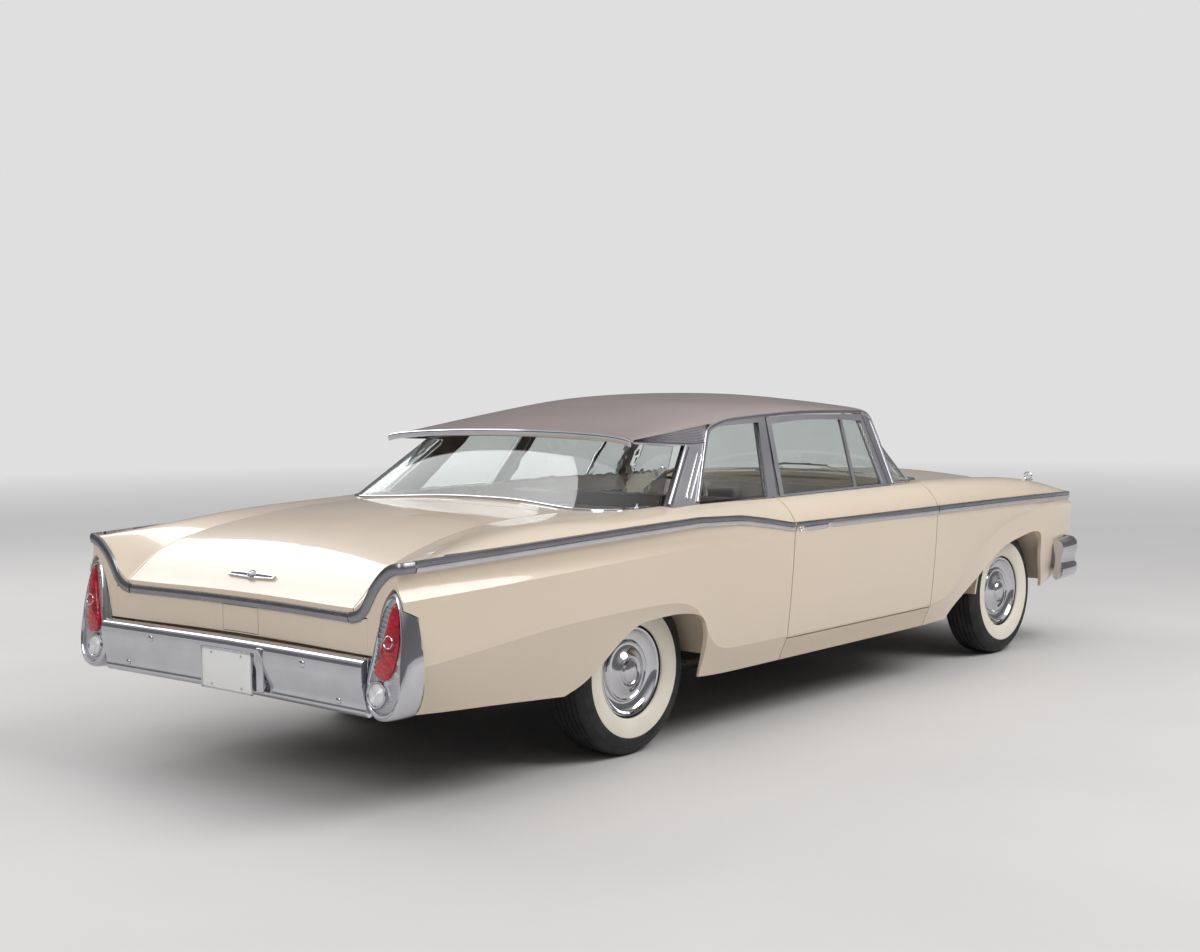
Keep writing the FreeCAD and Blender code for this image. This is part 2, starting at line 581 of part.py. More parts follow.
pillar_depth = size("pillar_depth")
frame_outer_shares = ((-0.594, 0.980), (-0.617, rail_height(-0.617) - high_gap_share),
                      (-0.350, rail_height(-0.35) - high_gap_share), (-0.100, rail_height(-0.1) - high_gap_share),
                      (0.204, rail_height(0.2) - high_gap_share), (0.345, 0.980))
frame_inner_shares = ((-0.566, 1.012), (-0.588, 1.320), (-0.350, 1.332), (-0.100, 1.337), (0.178, 1.326),
                      (0.300, 1.012))
vent_bar_shares = ((-0.322, 1.006), (-0.438, 1.333), (-0.418, 1.336), (-0.302, 1.006))
door_frame = side_slab(0, pillar_depth, frame_outer_shares).cut(side_slab(-overrun, pillar_depth + overrun,
                                                                          frame_inner_shares))
vent_bar = side_slab(pillar_depth * 0.2, pillar_depth * 0.7, vent_bar_shares)
door_left = door_block.fuse([door_frame, vent_bar])
door_left = largest(door_left)

glass_depth = pillar_depth * 0.35
glass_thickness = size("glass_thickness")


def inset_outline(outline_shares, amount_share):
    """An outline with each side moved inward by the same small clearance."""
    count = len(outline_shares)
    turn = 0.0
    for index, (y, z) in enumerate(outline_shares):
        next_y, next_z = outline_shares[(index + 1) % count]
        turn += y * next_z - next_y * z
    inward = amount_share if turn > 0 else -amount_share
    sides = []
    for index, (y, z) in enumerate(outline_shares):
        next_y, next_z = outline_shares[(index + 1) % count]
        reach = math.hypot(next_y - y, next_z - z)
        run_y = (next_y - y) / reach
        run_z = (next_z - z) / reach
        sides.append((y - run_z * inward, z + run_y * inward, run_y, run_z))
    corners = []
    for index, (y, z, run_y, run_z) in enumerate(sides):
        back_y, back_z, back_run_y, back_run_z = sides[index - 1]
        cross = back_run_y * run_z - back_run_z * run_y
        step = ((y - back_y) * run_z - (z - back_z) * run_y) / cross
        corners.append((back_y + back_run_y * step, back_z + back_run_z * step))
    return corners


seat_share = seat_gap / long_unit
door_pane = side_slab(glass_depth, glass_depth + glass_thickness, inset_outline(frame_inner_shares, seat_share))
vent_bar_clear = side_slab(0, pillar_depth, inset_outline(vent_bar_shares, -seat_share))
door_panes = door_pane.cut(vent_bar_clear).Solids

# Roof and pillars
roof_outline_shares = ((0.900, -0.672), (0.700, -0.676), (0.660, -0.705), (0.450, -0.728), (0.0, -0.735))
roof_rear_shares = ((0.0, 1.182), (0.350, 1.188), (0.600, 1.204), (0.745, 1.226), (0.900, 1.228))
roof_outline = list(roof_outline_shares) + [(-x, y) for x, y in reversed(roof_outline_shares[:-1])]
roof_outline += [(-x, y) for x, y in reversed(roof_rear_shares)] + list(roof_rear_shares[1:])
roof_skin = roof_form.cut(roof_inner).common(plan_prism(roof_outline, high_unit * 1.1, high))

a_pillar_shares = ((-0.655, 1.006), (-0.668, 1.200), (-0.674, rail_height(-0.674)), (-0.622, rail_height(-0.622)),
                   (-0.600, 1.006))
b_pillar_shares = ((0.345, 1.006), (0.211, rail_height(0.211)), (0.268, rail_height(0.268)), (0.431, belt_share),
                   (0.408, belt_share), (0.408, 1.006))
c_pillar_shares = ((0.940, belt_share), (0.700, 1.270), (0.660, 1.306), (0.600, 1.322), (0.520, 1.328),
                   (0.255, 1.334), (0.255, rail_height(0.255)), (0.500, rail_height(0.5)),
                   (0.800, rail_height(0.8)), (1.224, rail_height(1.224)), (1.206, 1.268), (0.866, 1.250),
                   (1.150, belt_share))
pillar_parts = []
for side in (1, -1):
    a_pillar = side_slab(0, pillar_depth, a_pillar_shares)
    a_foot = block(point(0.815, -0.655, belt_share), point(0.850, -0.600, 1.040))
    b_pillar = side_slab(0, pillar_depth, b_pillar_shares)
    c_pillar = side_slab(0, pillar_depth, c_pillar_shares)
    for part_shape in (a_pillar, a_foot, b_pillar, c_pillar):
        pillar_parts.append(part_shape if side == 1 else mirrored(part_shape))
roof_piece = roof_skin.fuse(pillar_parts)

quarter_glass_shares = ((0.4264, 1.012), (0.2792, 1.333), (0.520, 1.327), (0.600, 1.321), (0.659, 1.305),
                        (0.699, 1.269), (0.928, 1.012))
quarter_pane = side_slab(glass_depth, glass_depth + glass_thickness,
                         inset_outline(quarter_glass_shares, seat_share))


def bent_glass(base_shares, top_shares):
    """A wrapped pane between two curves of poles, given from the middle to the left end."""
    rows = []
    for shares in (base_shares, top_shares):
        left = [point(x, y, z) for x, y, z in reversed(shares)]
        right = [point(-x, y, z) for x, y, z in shares[1:]]
        rows.append(left + right)
    face = strip_face(rows)
    return face.makeOffsetShape(glass_thickness, seat_gap / 10, fill=True)


windshield_base_shares = ((0.0, -1.118, 1.026), (0.300, -1.112, 1.024), (0.600, -1.075, 1.012), (0.795, -0.985, 1.006),
                          (0.812, -0.800, 1.006), (0.806, -0.662, 1.006))
windshield_top_shares = ((0.0, -0.722, 1.380), (0.250, -0.722, 1.379), (0.500, -0.715, 1.368), (0.650, -0.700, 1.345),
                         (0.672, -0.692, 1.335), (0.674, -0.680, 1.330))
backlight_base_shares = ((0.0, 1.372, 1.028), (0.250, 1.384, 1.024), (0.560, 1.452, 1.010), (0.810, 1.440, 1.008),
                         (0.850, 1.290, 1.008), (0.844, 1.160, 1.008))
backlight_top_shares = ((0.0, 1.122, 1.292), (0.250, 1.120, 1.290), (0.500, 1.112, 1.280), (0.680, 1.080, 1.262),
                        (0.716, 0.980, 1.255), (0.714, 0.900, 1.248))
windshield = largest(bent_glass(windshield_base_shares, windshield_top_shares).cut(roof_piece).cut(cowl_piece))
backlight = bent_glass(backlight_base_shares, backlight_top_shares).cut(roof_piece)

# Rear body
rear_skin = body_left.common(rear_end_cut)
quarter_zone = block(point(0.30, door_rear_share + gap_share, 0), point(1.2, 3.0, 1.6))
deck_zone = block(point(-0.640, 1.10, 0.80), point(0.640, lid_front_share - gap_share, 1.6))
deck_hole = block(point(-0.640 - wide_gap_share / 10, 1.0, 0.80), point(0.640 + wide_gap_share / 10, lid_front_share, 1.6))
tail_zone = block(point(-0.770, 2.58, 0.585), point(0.770, 2.9, tail_line_share - high_gap_share))
tail_hole = block(point(-0.770 - wide_gap_share / 10, 2.50, 0.30), point(0.770 + wide_gap_share / 10, 2.9, tail_line_share))

# Tail lamp pod: its teardrop seen from behind, around its own centre line.
pod_outline_shares = ((0.905, 0.822), (0.862, 0.770), (0.826, 0.650), (0.800, 0.520), (0.808, 0.425), (0.850, 0.378),
                      (0.900, 0.370), (0.958, 0.396), (0.992, 0.470), (0.996, 0.580), (0.975, 0.700), (0.945, 0.790))


def closed_spline(points):
    curve = Part.BSplineCurve()
    curve.interpolate(points, PeriodicFlag=True)
    return Part.Wire([curve.toShape()])


def pod_wire(place_share, rake_share, inset_share):
    """The pod outline at a place along the car, leaning back toward its foot."""
    mid_x = 0.900
    mid_z = 0.560
    points = []
    for x, z in pod_outline_shares:
        reach = math.hypot(x - mid_x, z - mid_z)
        near = 1 - inset_share / reach
        px = mid_x + (x - mid_x) * near
        pz = mid_z + (z - mid_z) * near
        points.append(point(px, place_share + rake_share * (0.814 - pz), pz))
    return closed_spline(points)


pod_body = Part.makeLoft([pod_wire(2.645, 0.0, 0.0), pod_wire(2.690, 0.12, 0.003), pod_wire(2.704, 0.135, 0.016)], True, True)
lens_cut = Part.makeLoft([pod_wire(2.664, 0.13, 0.024), pod_wire(2.760, 0.13, 0.024)], True)
pod = pod_body.cut(lens_cut)
lens = Part.makeLoft([pod_wire(2.6645, 0.13, 0.0245), pod_wire(2.694, 0.13, 0.0247), pod_wire(2.706, 0.13, 0.045)], True, True)
pod_clear = Part.makeLoft([pod_wire(2.6445, 0.0, -0.004), pod_wire(2.95, 0.0, -0.004)], True)

quarter = rear_skin.common(quarter_zone).cut(deck_hole).cut(tail_hole)
quarter = quarter.cut(block(point(0.20, 2.612, 0), point(0.835, 3.0, 0.585)))
quarter = quarter.cut(opening_cut(rear_axle, rear_opening_shares, 1)).cut(pod_clear)
rear_house = ring_wall(rear_axle, rear_house_radius, wide_unit * 0.640, wide_unit, house_wall).common(inner_form)
axle_window = block(FreeCAD.Vector(wide_unit * 0.60, rear_axle - long_unit * 0.06, 0),
                    FreeCAD.Vector(wide_unit * 0.70, rear_axle + long_unit * 0.06, high_unit * 0.50))
rear_house = rear_house.cut(axle_window)
door_post = outer_form.common(block(point(0.862, door_rear_share + gap_share, sill_top_share),
                                    point(1.1, 0.452, belt_share)))
quarter_left = largest(quarter).fuse([rear_house, door_post])
deck_piece = largest(rear_skin.common(deck_zone))
lid_ledge = seal_shell.common(block(point(-0.600, 1.545, 0.85), point(0.600, 1.605, 1.2)))
deck_joint = block(point(-0.600, 1.545, 0.975), point(0.600, 1.566, 0.990))
deck_piece = deck_piece.fuse([lid_ledge, deck_joint])
tail_piece = largest(rear_skin.common(tail_zone))
tail_wall = block(point(-0.770, 2.5965, 0.4463), point(0.770, 2.6230, 0.600))
tail_piece = tail_piece.fuse(tail_wall)

# Fuel door in the middle of the tail, between the moulding and the bumper.
fuel_width = size("fuel_door_width")
fuel_height = size("fuel_door_height")
fuel_low = high_unit * 0.592
fuel_thickness = size("fuel_door_thickness")
fuel_face = long_unit * 2.666
fuel_opening = block(FreeCAD.Vector(-fuel_width / 2 - shut_gap / 2, fuel_face - fuel_thickness * 2, fuel_low - shut_gap / 2),
                     FreeCAD.Vector(fuel_width / 2 + shut_gap / 2, fuel_face + overrun, fuel_low + fuel_height + shut_gap / 2))
pin_radius = size("fuel_pin_radius")
pin_place = FreeCAD.Vector(-fuel_width / 2 - overrun / 6, fuel_face - pin_radius, fuel_low + pin_radius)
pin_length = fuel_width + overrun / 3
pin_hole = Part.makeCylinder(pin_radius + size("pin_clearance"), pin_length, pin_place, FreeCAD.Vector(1, 0, 0))
fuel_pin = Part.makeCylinder(pin_radius, pin_length, pin_place, FreeCAD.Vector(1, 0, 0))
tail_piece = tail_piece.cut(fuel_opening).cut(pin_hole)
fuel_door = outer_form.common(tail_trim).common(
    block(FreeCAD.Vector(-fuel_width / 2, fuel_face - fuel_thickness, fuel_low),
          FreeCAD.Vector(fuel_width / 2, fuel_face + overrun, fuel_low + fuel_height))).fuse(fuel_pin)

backlight = largest(backlight.cut(deck_piece).cut(quarter_left).cut(mirrored(quarter_left)))
trunk_lid = largest(skin.common(lid_tool))
hood_piece = largest(hood)

keep("hood", hood_piece)
keep("trunk_lid", trunk_lid)
keep("cowl_and_firewall", cowl_piece)
keep("fender_left", fender_left)
keep("fender_right", mirrored(fender_left))
keep("door_left", door_left)
keep("door_right", mirrored(door_left))
keep("door_glass_left", Part.makeCompound(door_panes))
keep("door_glass_right", mirrored(Part.makeCompound(door_panes)))
keep("quarter_panel_left", quarter_left)
keep("quarter_panel_right", mirrored(quarter_left))
keep("quarter_glasses", Part.makeCompound([quarter_pane, mirrored(quarter_pane)]))
keep("rear_deck", deck_piece)
keep("tail_panel", tail_piece)
keep("fuel_door", fuel_door)
keep("roof_and_pillars", roof_piece)
keep("windshield", windshield)
keep("backlight", backlight)

# Bumpers


def bumper_bar(plan_shares, low_share, high_share, depth_share, roll_share, facing):
    """A rolled bar that follows a plan curve from the middle out, mirrored."""
    sections = []
    full = list(reversed([(-x, y) for x, y in plan_shares[1:]])) + list(plan_shares)
    full = sorted(full)
    for x, y in full:
        mid = (low_share + high_share) / 2
        outline = [(y - facing * depth_share, low_share), (y - facing * roll_share * 0.4, low_share),
                   (y, low_share + roll_share), (y - facing * roll_share * 0.25, mid),
                   (y, high_share - roll_share), (y - facing * roll_share * 0.5, high_share),
                   (y - facing * depth_share, high_share)]
        points = [point(x, place, height) for place, height in outline]
        sections.append(Part.makePolygon(points + [points[0]]))
    return Part.makeLoft(sections, True)


rear_plan_shares = ((0.0, 2.742), (0.300, 2.748), (0.560, 2.756), (0.796, 2.764))
rear_bar = bumper_bar(rear_plan_shares, 0.372, 0.580, 0.062, 0.040, 1)
pod_form = Part.makeLoft([pod_wire(2.645, 0.0, 0.0), pod_wire(2.90, 0.0, 0.0)], True)
rear_bar = rear_bar.cut(pod_form).cut(mirrored(pod_form))
bumper_arms = []
arm_x = size("rail_spread") / 2
for side in (1, -1):
    arm = block(FreeCAD.Vector(arm_x - size("rail_width") / 2, long_unit * 2.5803, high_unit * 0.385),
                FreeCAD.Vector(arm_x + size("rail_width") / 2, long_unit * 2.720, high_unit * 0.440))
    bumper_arms.append(arm if side == 1 else mirrored(arm))
rear_bumper = rear_bar.fuse(bumper_arms + [pod, mirrored(pod)])
front_plan_shares = ((0.0, -2.764), (0.350, -2.758), (0.650, -2.735), (0.830, -2.695), (0.925, -2.635))
front_bar = bumper_bar(front_plan_shares, 0.360, 0.600, 0.090, 0.045, -1)
front_wraps = []
for side in (1, -1):
    wrap = plan_prism(((0.900, -2.630), (0.930, -2.640), (0.972, -2.580), (0.984, -2.440), (0.982, -2.330),
                       (0.968, -2.330), (0.966, -2.440), (0.950, -2.560), (0.900, -2.590)),
                      high_unit * 0.385, high_unit * 0.585)
    front_wraps.append(wrap if side == 1 else mirrored(wrap))
front_arms = []
for side in (1, -1):
    arm = block(FreeCAD.Vector(arm_x - size("rail_width") / 2, long_unit * -2.720, high_unit * 0.395),
                FreeCAD.Vector(arm_x + size("rail_width") / 2, long_unit * -2.4703, high_unit * 0.455))
    front_arms.append(arm if side == 1 else mirrored(arm))
front_bumper = front_bar.fuse(front_wraps + front_arms)

# Grille and headlamps
lamp_radius = size("lamp_radius")
lamp_depth = size("lamp_depth")
grille_front = nose_share * long_unit + shut_gap * 5
grille_back = nose_share * long_unit + mouth_depth - seat_gap
grille_outline = [(x - math.copysign(seat_gap / wide_unit, x), z - (seat_gap / high_unit if z > 0.7 else -seat_gap / high_unit))
                  for x, z in mouth_shares]
grille = cross_prism(grille_outline, grille_front + lamp_depth, grille_back - lamp_depth * 0.3)
lamp_places = ((0.745, 0.714), (0.560, 0.714))
rim = lamp_radius * 0.12
lamps = []
for x, z in lamp_places:
    for side in (1, -1):
        centre = FreeCAD.Vector(side * x * wide_unit, grille_front, z * high_unit - rim)
        reach = grille_back - lamp_depth * 0.3 - grille_front
        forward = FreeCAD.Vector(0, 1, 0)
        barrel = Part.makeCylinder(lamp_radius - rim, reach - rim, centre, forward)
        seat = Part.makeCylinder(lamp_radius - rim * 2, lamp_depth, centre, forward)
        grille = grille.fuse(barrel).cut(seat)
        lamp = Part.makeCylinder(lamp_radius - rim * 2 - seat_gap, lamp_depth - seat_gap, centre, forward)
        lamps.append(lamp)
bars = []
bar_width_share = 0.455
for index in range(4):
    z_mid = high_unit * (0.655 + 0.042 * index)
    bars.append(block(FreeCAD.Vector(-bar_width_share * wide_unit, grille_front + rim, z_mid - rim / 2),
                      FreeCAD.Vector(bar_width_share * wide_unit, grille_front + lamp_depth + rim, z_mid + rim / 2)))
grille = grille.fuse(bars)

# Chassis frame
rail_width = size("rail_width")
rail_height = size("rail_height")
rail_spread = size("rail_spread")
floor_height = size("floor_height")
floor_wall = size("floor_wall")
rail_floor = floor_height - seat_gap - rail_height
rail_line_shares = ((-2.470, 0.360), (-1.480, 0.360), (-1.260, None), (1.000, None), (1.180, 0.425), (1.550, 0.425),
                    (1.750, 0.332), (2.580, 0.332))


def rail_solid(side):
    lower = []
    for y, z in rail_line_shares:
        lower.append(FreeCAD.Vector(side * rail_spread / 2 - rail_width / 2, y * long_unit,
                                    rail_floor if z is None else z * high_unit))
    upper = [spot + FreeCAD.Vector(0, 0, rail_height) for spot in reversed(lower)]
    return flat_face(lower + upper).extrude(FreeCAD.Vector(rail_width, 0, 0))


cross_reach = rail_spread / 2 + rail_width / 4
cross_member_shares = ((-2.400, 0.372), (-0.900, None), (0.700, None), (1.720, 0.392), (2.480, 0.342))
members = [rail_solid(1), rail_solid(-1)]
for y, z in cross_member_shares:
    z_low = rail_floor + floor_wall if z is None else z * high_unit
    members.append(block(FreeCAD.Vector(-cross_reach, y * long_unit - rail_width / 2, z_low),
                         FreeCAD.Vector(cross_reach, y * long_unit + rail_width / 2, z_low + rail_height * 0.7)))
suspension_beam = block(FreeCAD.Vector(-cross_reach, front_axle - rail_width, high_unit * 0.255),
                        FreeCAD.Vector(cross_reach, front_axle + rail_width, high_unit * 0.362))
hangers = []
for side in (1, -1):
    for y_share, z_share in ((0.700, 0.290), (2.030, 0.308)):
        hanger = block(point(0.455, y_share, z_share), point(0.5297, y_share + 0.050, z_share + 0.038))
        hangers.append(hanger if side == 1 else mirrored(hanger))
frame_piece = members[0].fuse(members[1:] + [suspension_beam] + hangers)

# Floor, sills and trunk floor
tunnel_half = size("tunnel_width") / 2
tunnel_height = size("tunnel_height")
floor_top = floor_height + floor_wall
floor_half = wide_unit * 0.858
front_floor = block(FreeCAD.Vector(-floor_half, long_unit * -1.015, floor_height),
                    FreeCAD.Vector(floor_half, long_unit * 1.000, floor_top))
tunnel_outer = block(FreeCAD.Vector(-tunnel_half, long_unit * -1.015, floor_height),
                     FreeCAD.Vector(tunnel_half, long_unit * 1.000, floor_top + tunnel_height))
tunnel_inner = block(FreeCAD.Vector(-tunnel_half + floor_wall, long_unit * -1.2, floor_height - overrun),
                     FreeCAD.Vector(tunnel_half - floor_wall, long_unit * 1.2, floor_top + tunnel_height - floor_wall))
bell_height = tunnel_height + high_unit * 0.080
bell_outer = block(FreeCAD.Vector(-tunnel_half, long_unit * -1.015, floor_height),
                   FreeCAD.Vector(tunnel_half, long_unit * -0.580, floor_top + bell_height))
bell_inner = block(FreeCAD.Vector(-tunnel_half + floor_wall, long_unit * -1.2, floor_height - overrun),
                   FreeCAD.Vector(tunnel_half - floor_wall, long_unit * -0.594, floor_top + bell_height - floor_wall))
floor_piece = front_floor.fuse([tunnel_outer, bell_outer]).cut(tunnel_inner).cut(bell_inner)
heel_height = high_unit * 0.560
heel_board = block(FreeCAD.Vector(-wide_unit * 0.6397, long_unit * 0.986, floor_height),
                   FreeCAD.Vector(wide_unit * 0.6397, long_unit * 1.000, heel_height + floor_wall))
axle_floor = block(FreeCAD.Vector(-wide_unit * 0.6397, long_unit * 0.986, heel_height),
                   FreeCAD.Vector(wide_unit * 0.6397, long_unit * 1.800, heel_height + floor_wall))
step_wall = block(FreeCAD.Vector(-wide_unit * 0.6397, long_unit * 1.786, high_unit * 0.446),
                  FreeCAD.Vector(wide_unit * 0.6397, long_unit * 1.800, heel_height + floor_wall))
trunk_floor = block(FreeCAD.Vector(-wide_unit * 0.850, long_unit * 1.786, high_unit * 0.446),
                    FreeCAD.Vector(wide_unit * 0.850, long_unit * 2.596, high_unit * 0.446 + floor_wall))
sill_tool = side_prism(((door_front_share, 0.200), (door_front_share, sill_top_share - high_gap_share),
                        (door_rear_share, sill_top_share - high_gap_share), (door_rear_share, 0.200)),
                       wide_unit * 0.8505, wide_unit * 1.1)
sill = outer_form.common(sill_tool)
sills = [sill, mirrored(sill)]
tub = floor_piece.fuse([heel_board, axle_floor, step_wall, trunk_floor] + sills)
tub = tub.cut(tunnel_inner).cut(bell_inner)

# Engine, gearbox and drive
engine_width = size("engine_width")
engine_back = long_unit * -1.200
engine_low = high_unit * 0.385
engine = block(FreeCAD.Vector(-engine_width / 2, engine_back - size("engine_length"), engine_low),
               FreeCAD.Vector(engine_width / 2, engine_back, engine_low + size("engine_height")))
shaft_radius = size("shaft_radius")
shaft_front = FreeCAD.Vector(0, long_unit * -0.640, high_unit * 0.395)
diff_centre = FreeCAD.Vector(0, rear_axle, wheel_height)
diff_radius = size("differential_radius")
gearbox = Part.makeCone(shaft_radius * 3.2, shaft_radius * 1.7, shaft_front.y - engine_back - seat_gap,
                        FreeCAD.Vector(0, engine_back + seat_gap, shaft_front.z + shaft_radius * 0.6), FreeCAD.Vector(0, 1, 0))
mount = block(FreeCAD.Vector(-rail_width, long_unit * -0.900 - rail_width / 3, rail_floor + floor_wall + rail_height * 0.7 + seat_gap),
              FreeCAD.Vector(rail_width, long_unit * -0.900 + rail_width / 3, shaft_front.z))
shaft_end = FreeCAD.Vector(0, rear_axle - diff_radius - seat_gap, wheel_height)
run = shaft_end - shaft_front
drive_shaft = Part.makeCylinder(shaft_radius, run.Length, shaft_front, run)
drive_piece = gearbox.fuse([drive_shaft, mount])
axle_radius = size("axle_tube_radius")
hub_face = half_track - size("hub_depth")
axle_tube = Part.makeCylinder(axle_radius, hub_face * 2, FreeCAD.Vector(-hub_face, rear_axle, wheel_height),
                              FreeCAD.Vector(1, 0, 0))
diff_half = diff_radius * 0.7
diff_shoulder = diff_radius * 0.55
diff_crown = Part.Arc(diff_centre + FreeCAD.Vector(-diff_half, 0, diff_shoulder),
                      diff_centre + FreeCAD.Vector(0, 0, diff_radius),
                      diff_centre + FreeCAD.Vector(diff_half, 0, diff_shoulder)).toShape()
diff_sides = Part.makePolygon([diff_centre + FreeCAD.Vector(diff_half, 0, diff_shoulder),
                               diff_centre + FreeCAD.Vector(diff_half, 0, 0),
                               diff_centre + FreeCAD.Vector(-diff_half, 0, 0),
                               diff_centre + FreeCAD.Vector(-diff_half, 0, diff_shoulder)])
diff_face = Part.Face(Part.Wire([diff_crown] + diff_sides.Edges))
differential = diff_face.revolve(diff_centre, FreeCAD.Vector(1, 0, 0), 360)
spring_width = size("spring_width")
spring_thickness = size("spring_thickness")
spring_x = wide_unit * 0.560
pad_share = 0.80
leaf_shares = ((0.700, 0.288), (1.020, 0.266), (1.350, 0.256), (1.700, 0.268), (2.080, 0.305))


def leaf_spring(side):
    lower = [FreeCAD.Vector(side * spring_x - spring_width / 2, y * long_unit, z * high_unit) for y, z in leaf_shares]
    upper = [spot + FreeCAD.Vector(0, 0, spring_thickness) for spot in reversed(lower)]
    leaf = flat_face(lower + upper).extrude(FreeCAD.Vector(spring_width, 0, 0))
    pad_half = axle_radius * pad_share
    pad = block(FreeCAD.Vector(side * spring_x - spring_width / 2, rear_axle - pad_half, high_unit * 0.270),
                FreeCAD.Vector(side * spring_x + spring_width / 2, rear_axle + pad_half, wheel_height))
    return leaf.fuse([pad])


rear_axle_piece = axle_tube.fuse([differential, leaf_spring(1), leaf_spring(-1)])

# Exhaust and tank
exhaust_radius = size("exhaust_radius")
pipe_x = wide_unit * -0.300
pipe_z = rail_floor - exhaust_radius - seat_gap
muffler_y = long_unit * 0.050
muffler_radius = size("muffler_radius")
pipe = Part.makeCylinder(exhaust_radius, long_unit * 1.820, FreeCAD.Vector(pipe_x, long_unit * -1.050, pipe_z),
                         FreeCAD.Vector(0, 1, 0))
muffler = Part.makeCylinder(muffler_radius, size("muffler_length"), FreeCAD.Vector(pipe_x, muffler_y, pipe_z + muffler_radius * 0.4),
                            FreeCAD.Vector(0, 1, 0))
hanger_half = exhaust_radius * 0.4
pipe_hangers = []
for y_share in (-0.900, 0.700):
    pipe_hangers.append(block(FreeCAD.Vector(pipe_x - hanger_half, y_share * long_unit - hanger_half, pipe_z),
                              FreeCAD.Vector(pipe_x + hanger_half, y_share * long_unit + hanger_half,
                                             rail_floor + floor_wall - seat_gap)))
exhaust = pipe.fuse([muffler] + pipe_hangers)
tank = block(FreeCAD.Vector(-size("tank_width") / 2 + rail_width * 1.4, long_unit * 1.870, high_unit * 0.446 - seat_gap - size("tank_height")),
             FreeCAD.Vector(size("tank_width") / 2 - rail_width * 1.4, long_unit * 1.870 + size("tank_length") * 0.9, high_unit * 0.446 - seat_gap))

# Front suspension, knuckles, wheels
kingpin_x = half_track - size("kingpin_inset")
kingpin_radius = size("kingpin_radius")
arm_low = high_unit * 0.262
arm_high = high_unit * 0.470
arm_thickness = floor_wall * 2
pin_clear = seat_gap
suspension_parts = []
knuckles = []
for side in (1, -1):
    low_arm = block(FreeCAD.Vector(cross_reach + seat_gap, front_axle - rail_width / 2, arm_low),
                    FreeCAD.Vector(kingpin_x + kingpin_radius * 2, front_axle + rail_width / 2, arm_low + arm_thickness))
    top_arm = block(FreeCAD.Vector(rail_spread / 2 + rail_width / 2 - floor_wall, front_axle - rail_width / 2, arm_high),
                    FreeCAD.Vector(kingpin_x + kingpin_radius * 2, front_axle + rail_width / 2, arm_high + arm_thickness))
    tower = block(FreeCAD.Vector(rail_spread / 2 - rail_width / 2, front_axle - rail_width, high_unit * 0.360 + rail_height + seat_gap),
                  FreeCAD.Vector(rail_spread / 2 + rail_width / 2, front_axle + rail_width, arm_high + arm_thickness * 3))
    pin_hole = Part.makeCylinder(kingpin_radius + pin_clear, high_unit, FreeCAD.Vector(kingpin_x, front_axle, 0))
    carrier = low_arm.fuse([top_arm, tower]).cut(pin_hole)
    pin = Part.makeCylinder(kingpin_radius, arm_high + arm_thickness - arm_low, FreeCAD.Vector(kingpin_x, front_axle, arm_low))
    post = block(FreeCAD.Vector(kingpin_x - kingpin_radius * 1.6, front_axle - kingpin_radius * 2, arm_low + arm_thickness + seat_gap),
                 FreeCAD.Vector(kingpin_x + kingpin_radius * 1.6, front_axle + kingpin_radius * 2, arm_high - seat_gap))
    spindle = Part.makeCylinder(axle_radius * 0.6, hub_face - kingpin_x, FreeCAD.Vector(kingpin_x, front_axle, wheel_height), FreeCAD.Vector(1, 0, 0))
    knuckle = pin.fuse([post, spindle])
    suspension_parts.append(carrier if side == 1 else mirrored(carrier))
    knuckles.append(knuckle if side == 1 else mirrored(knuckle))

tyre_radius = size("tyre_radius")
tyre_width = size("tyre_width")
rim_radius = size("rim_radius")
rim_width = size("rim_width")
rim_wall = size("rim_wall")
hub_radius = size("hub_radius")
hub_depth = size("hub_depth")
cover_radius = size("cover_radius")


def turned(profile, centre, side):
    """Revolve a half profile of (across, radius) points about a wheel's axle."""
    points = [centre + FreeCAD.Vector(side * across, 0, radius) for across, radius in profile]
    return flat_face(points).revolve(centre, FreeCAD.Vector(1, 0, 0), 360)


def tyre_solid(centre, side):
    half = tyre_width / 2
    profile_shares = ((-1.0, 0.0), (-1.0, 0.72), (-0.74, 1.0), (0.74, 1.0), (1.0, 0.72), (1.0, 0.0))
    bead = rim_radius + seat_gap
    profile = [(across * half, bead + rise * (tyre_radius - bead)) for across, rise in profile_shares]
    return turned(profile, centre, side)


def wheel_solid(centre, side):
    half = rim_width / 2
    inner = rim_radius - rim_wall
    disc_at = half * 0.45
    profile = [(-half, inner), (-half, rim_radius), (half, rim_radius), (half, inner),
               (disc_at + rim_wall * 1.5, inner * 0.96), (disc_at + rim_wall * 3.4, hub_radius * 1.25),
               (disc_at + rim_wall * 4.4, 0), (0, 0), (0, hub_radius), (disc_at, hub_radius * 1.3), (disc_at, inner)]
    hub = [(-hub_depth + seat_gap, 0), (-hub_depth + seat_gap, hub_radius), (rim_wall, hub_radius), (rim_wall, 0)]
    return turned(profile, centre, side).fuse(turned(hub, centre, side))


wheel_places = (("front_left", 1, front_axle), ("front_right", -1, front_axle), ("rear_left", 1, rear_axle),
                ("rear_right", -1, rear_axle))

# Interior
seat_half = size("seat_width") / 2
cushion_height = size("cushion_height")
cushion_depth = size("cushion_depth")
back_height = size("backrest_height")
back_thickness = size("backrest_thickness")


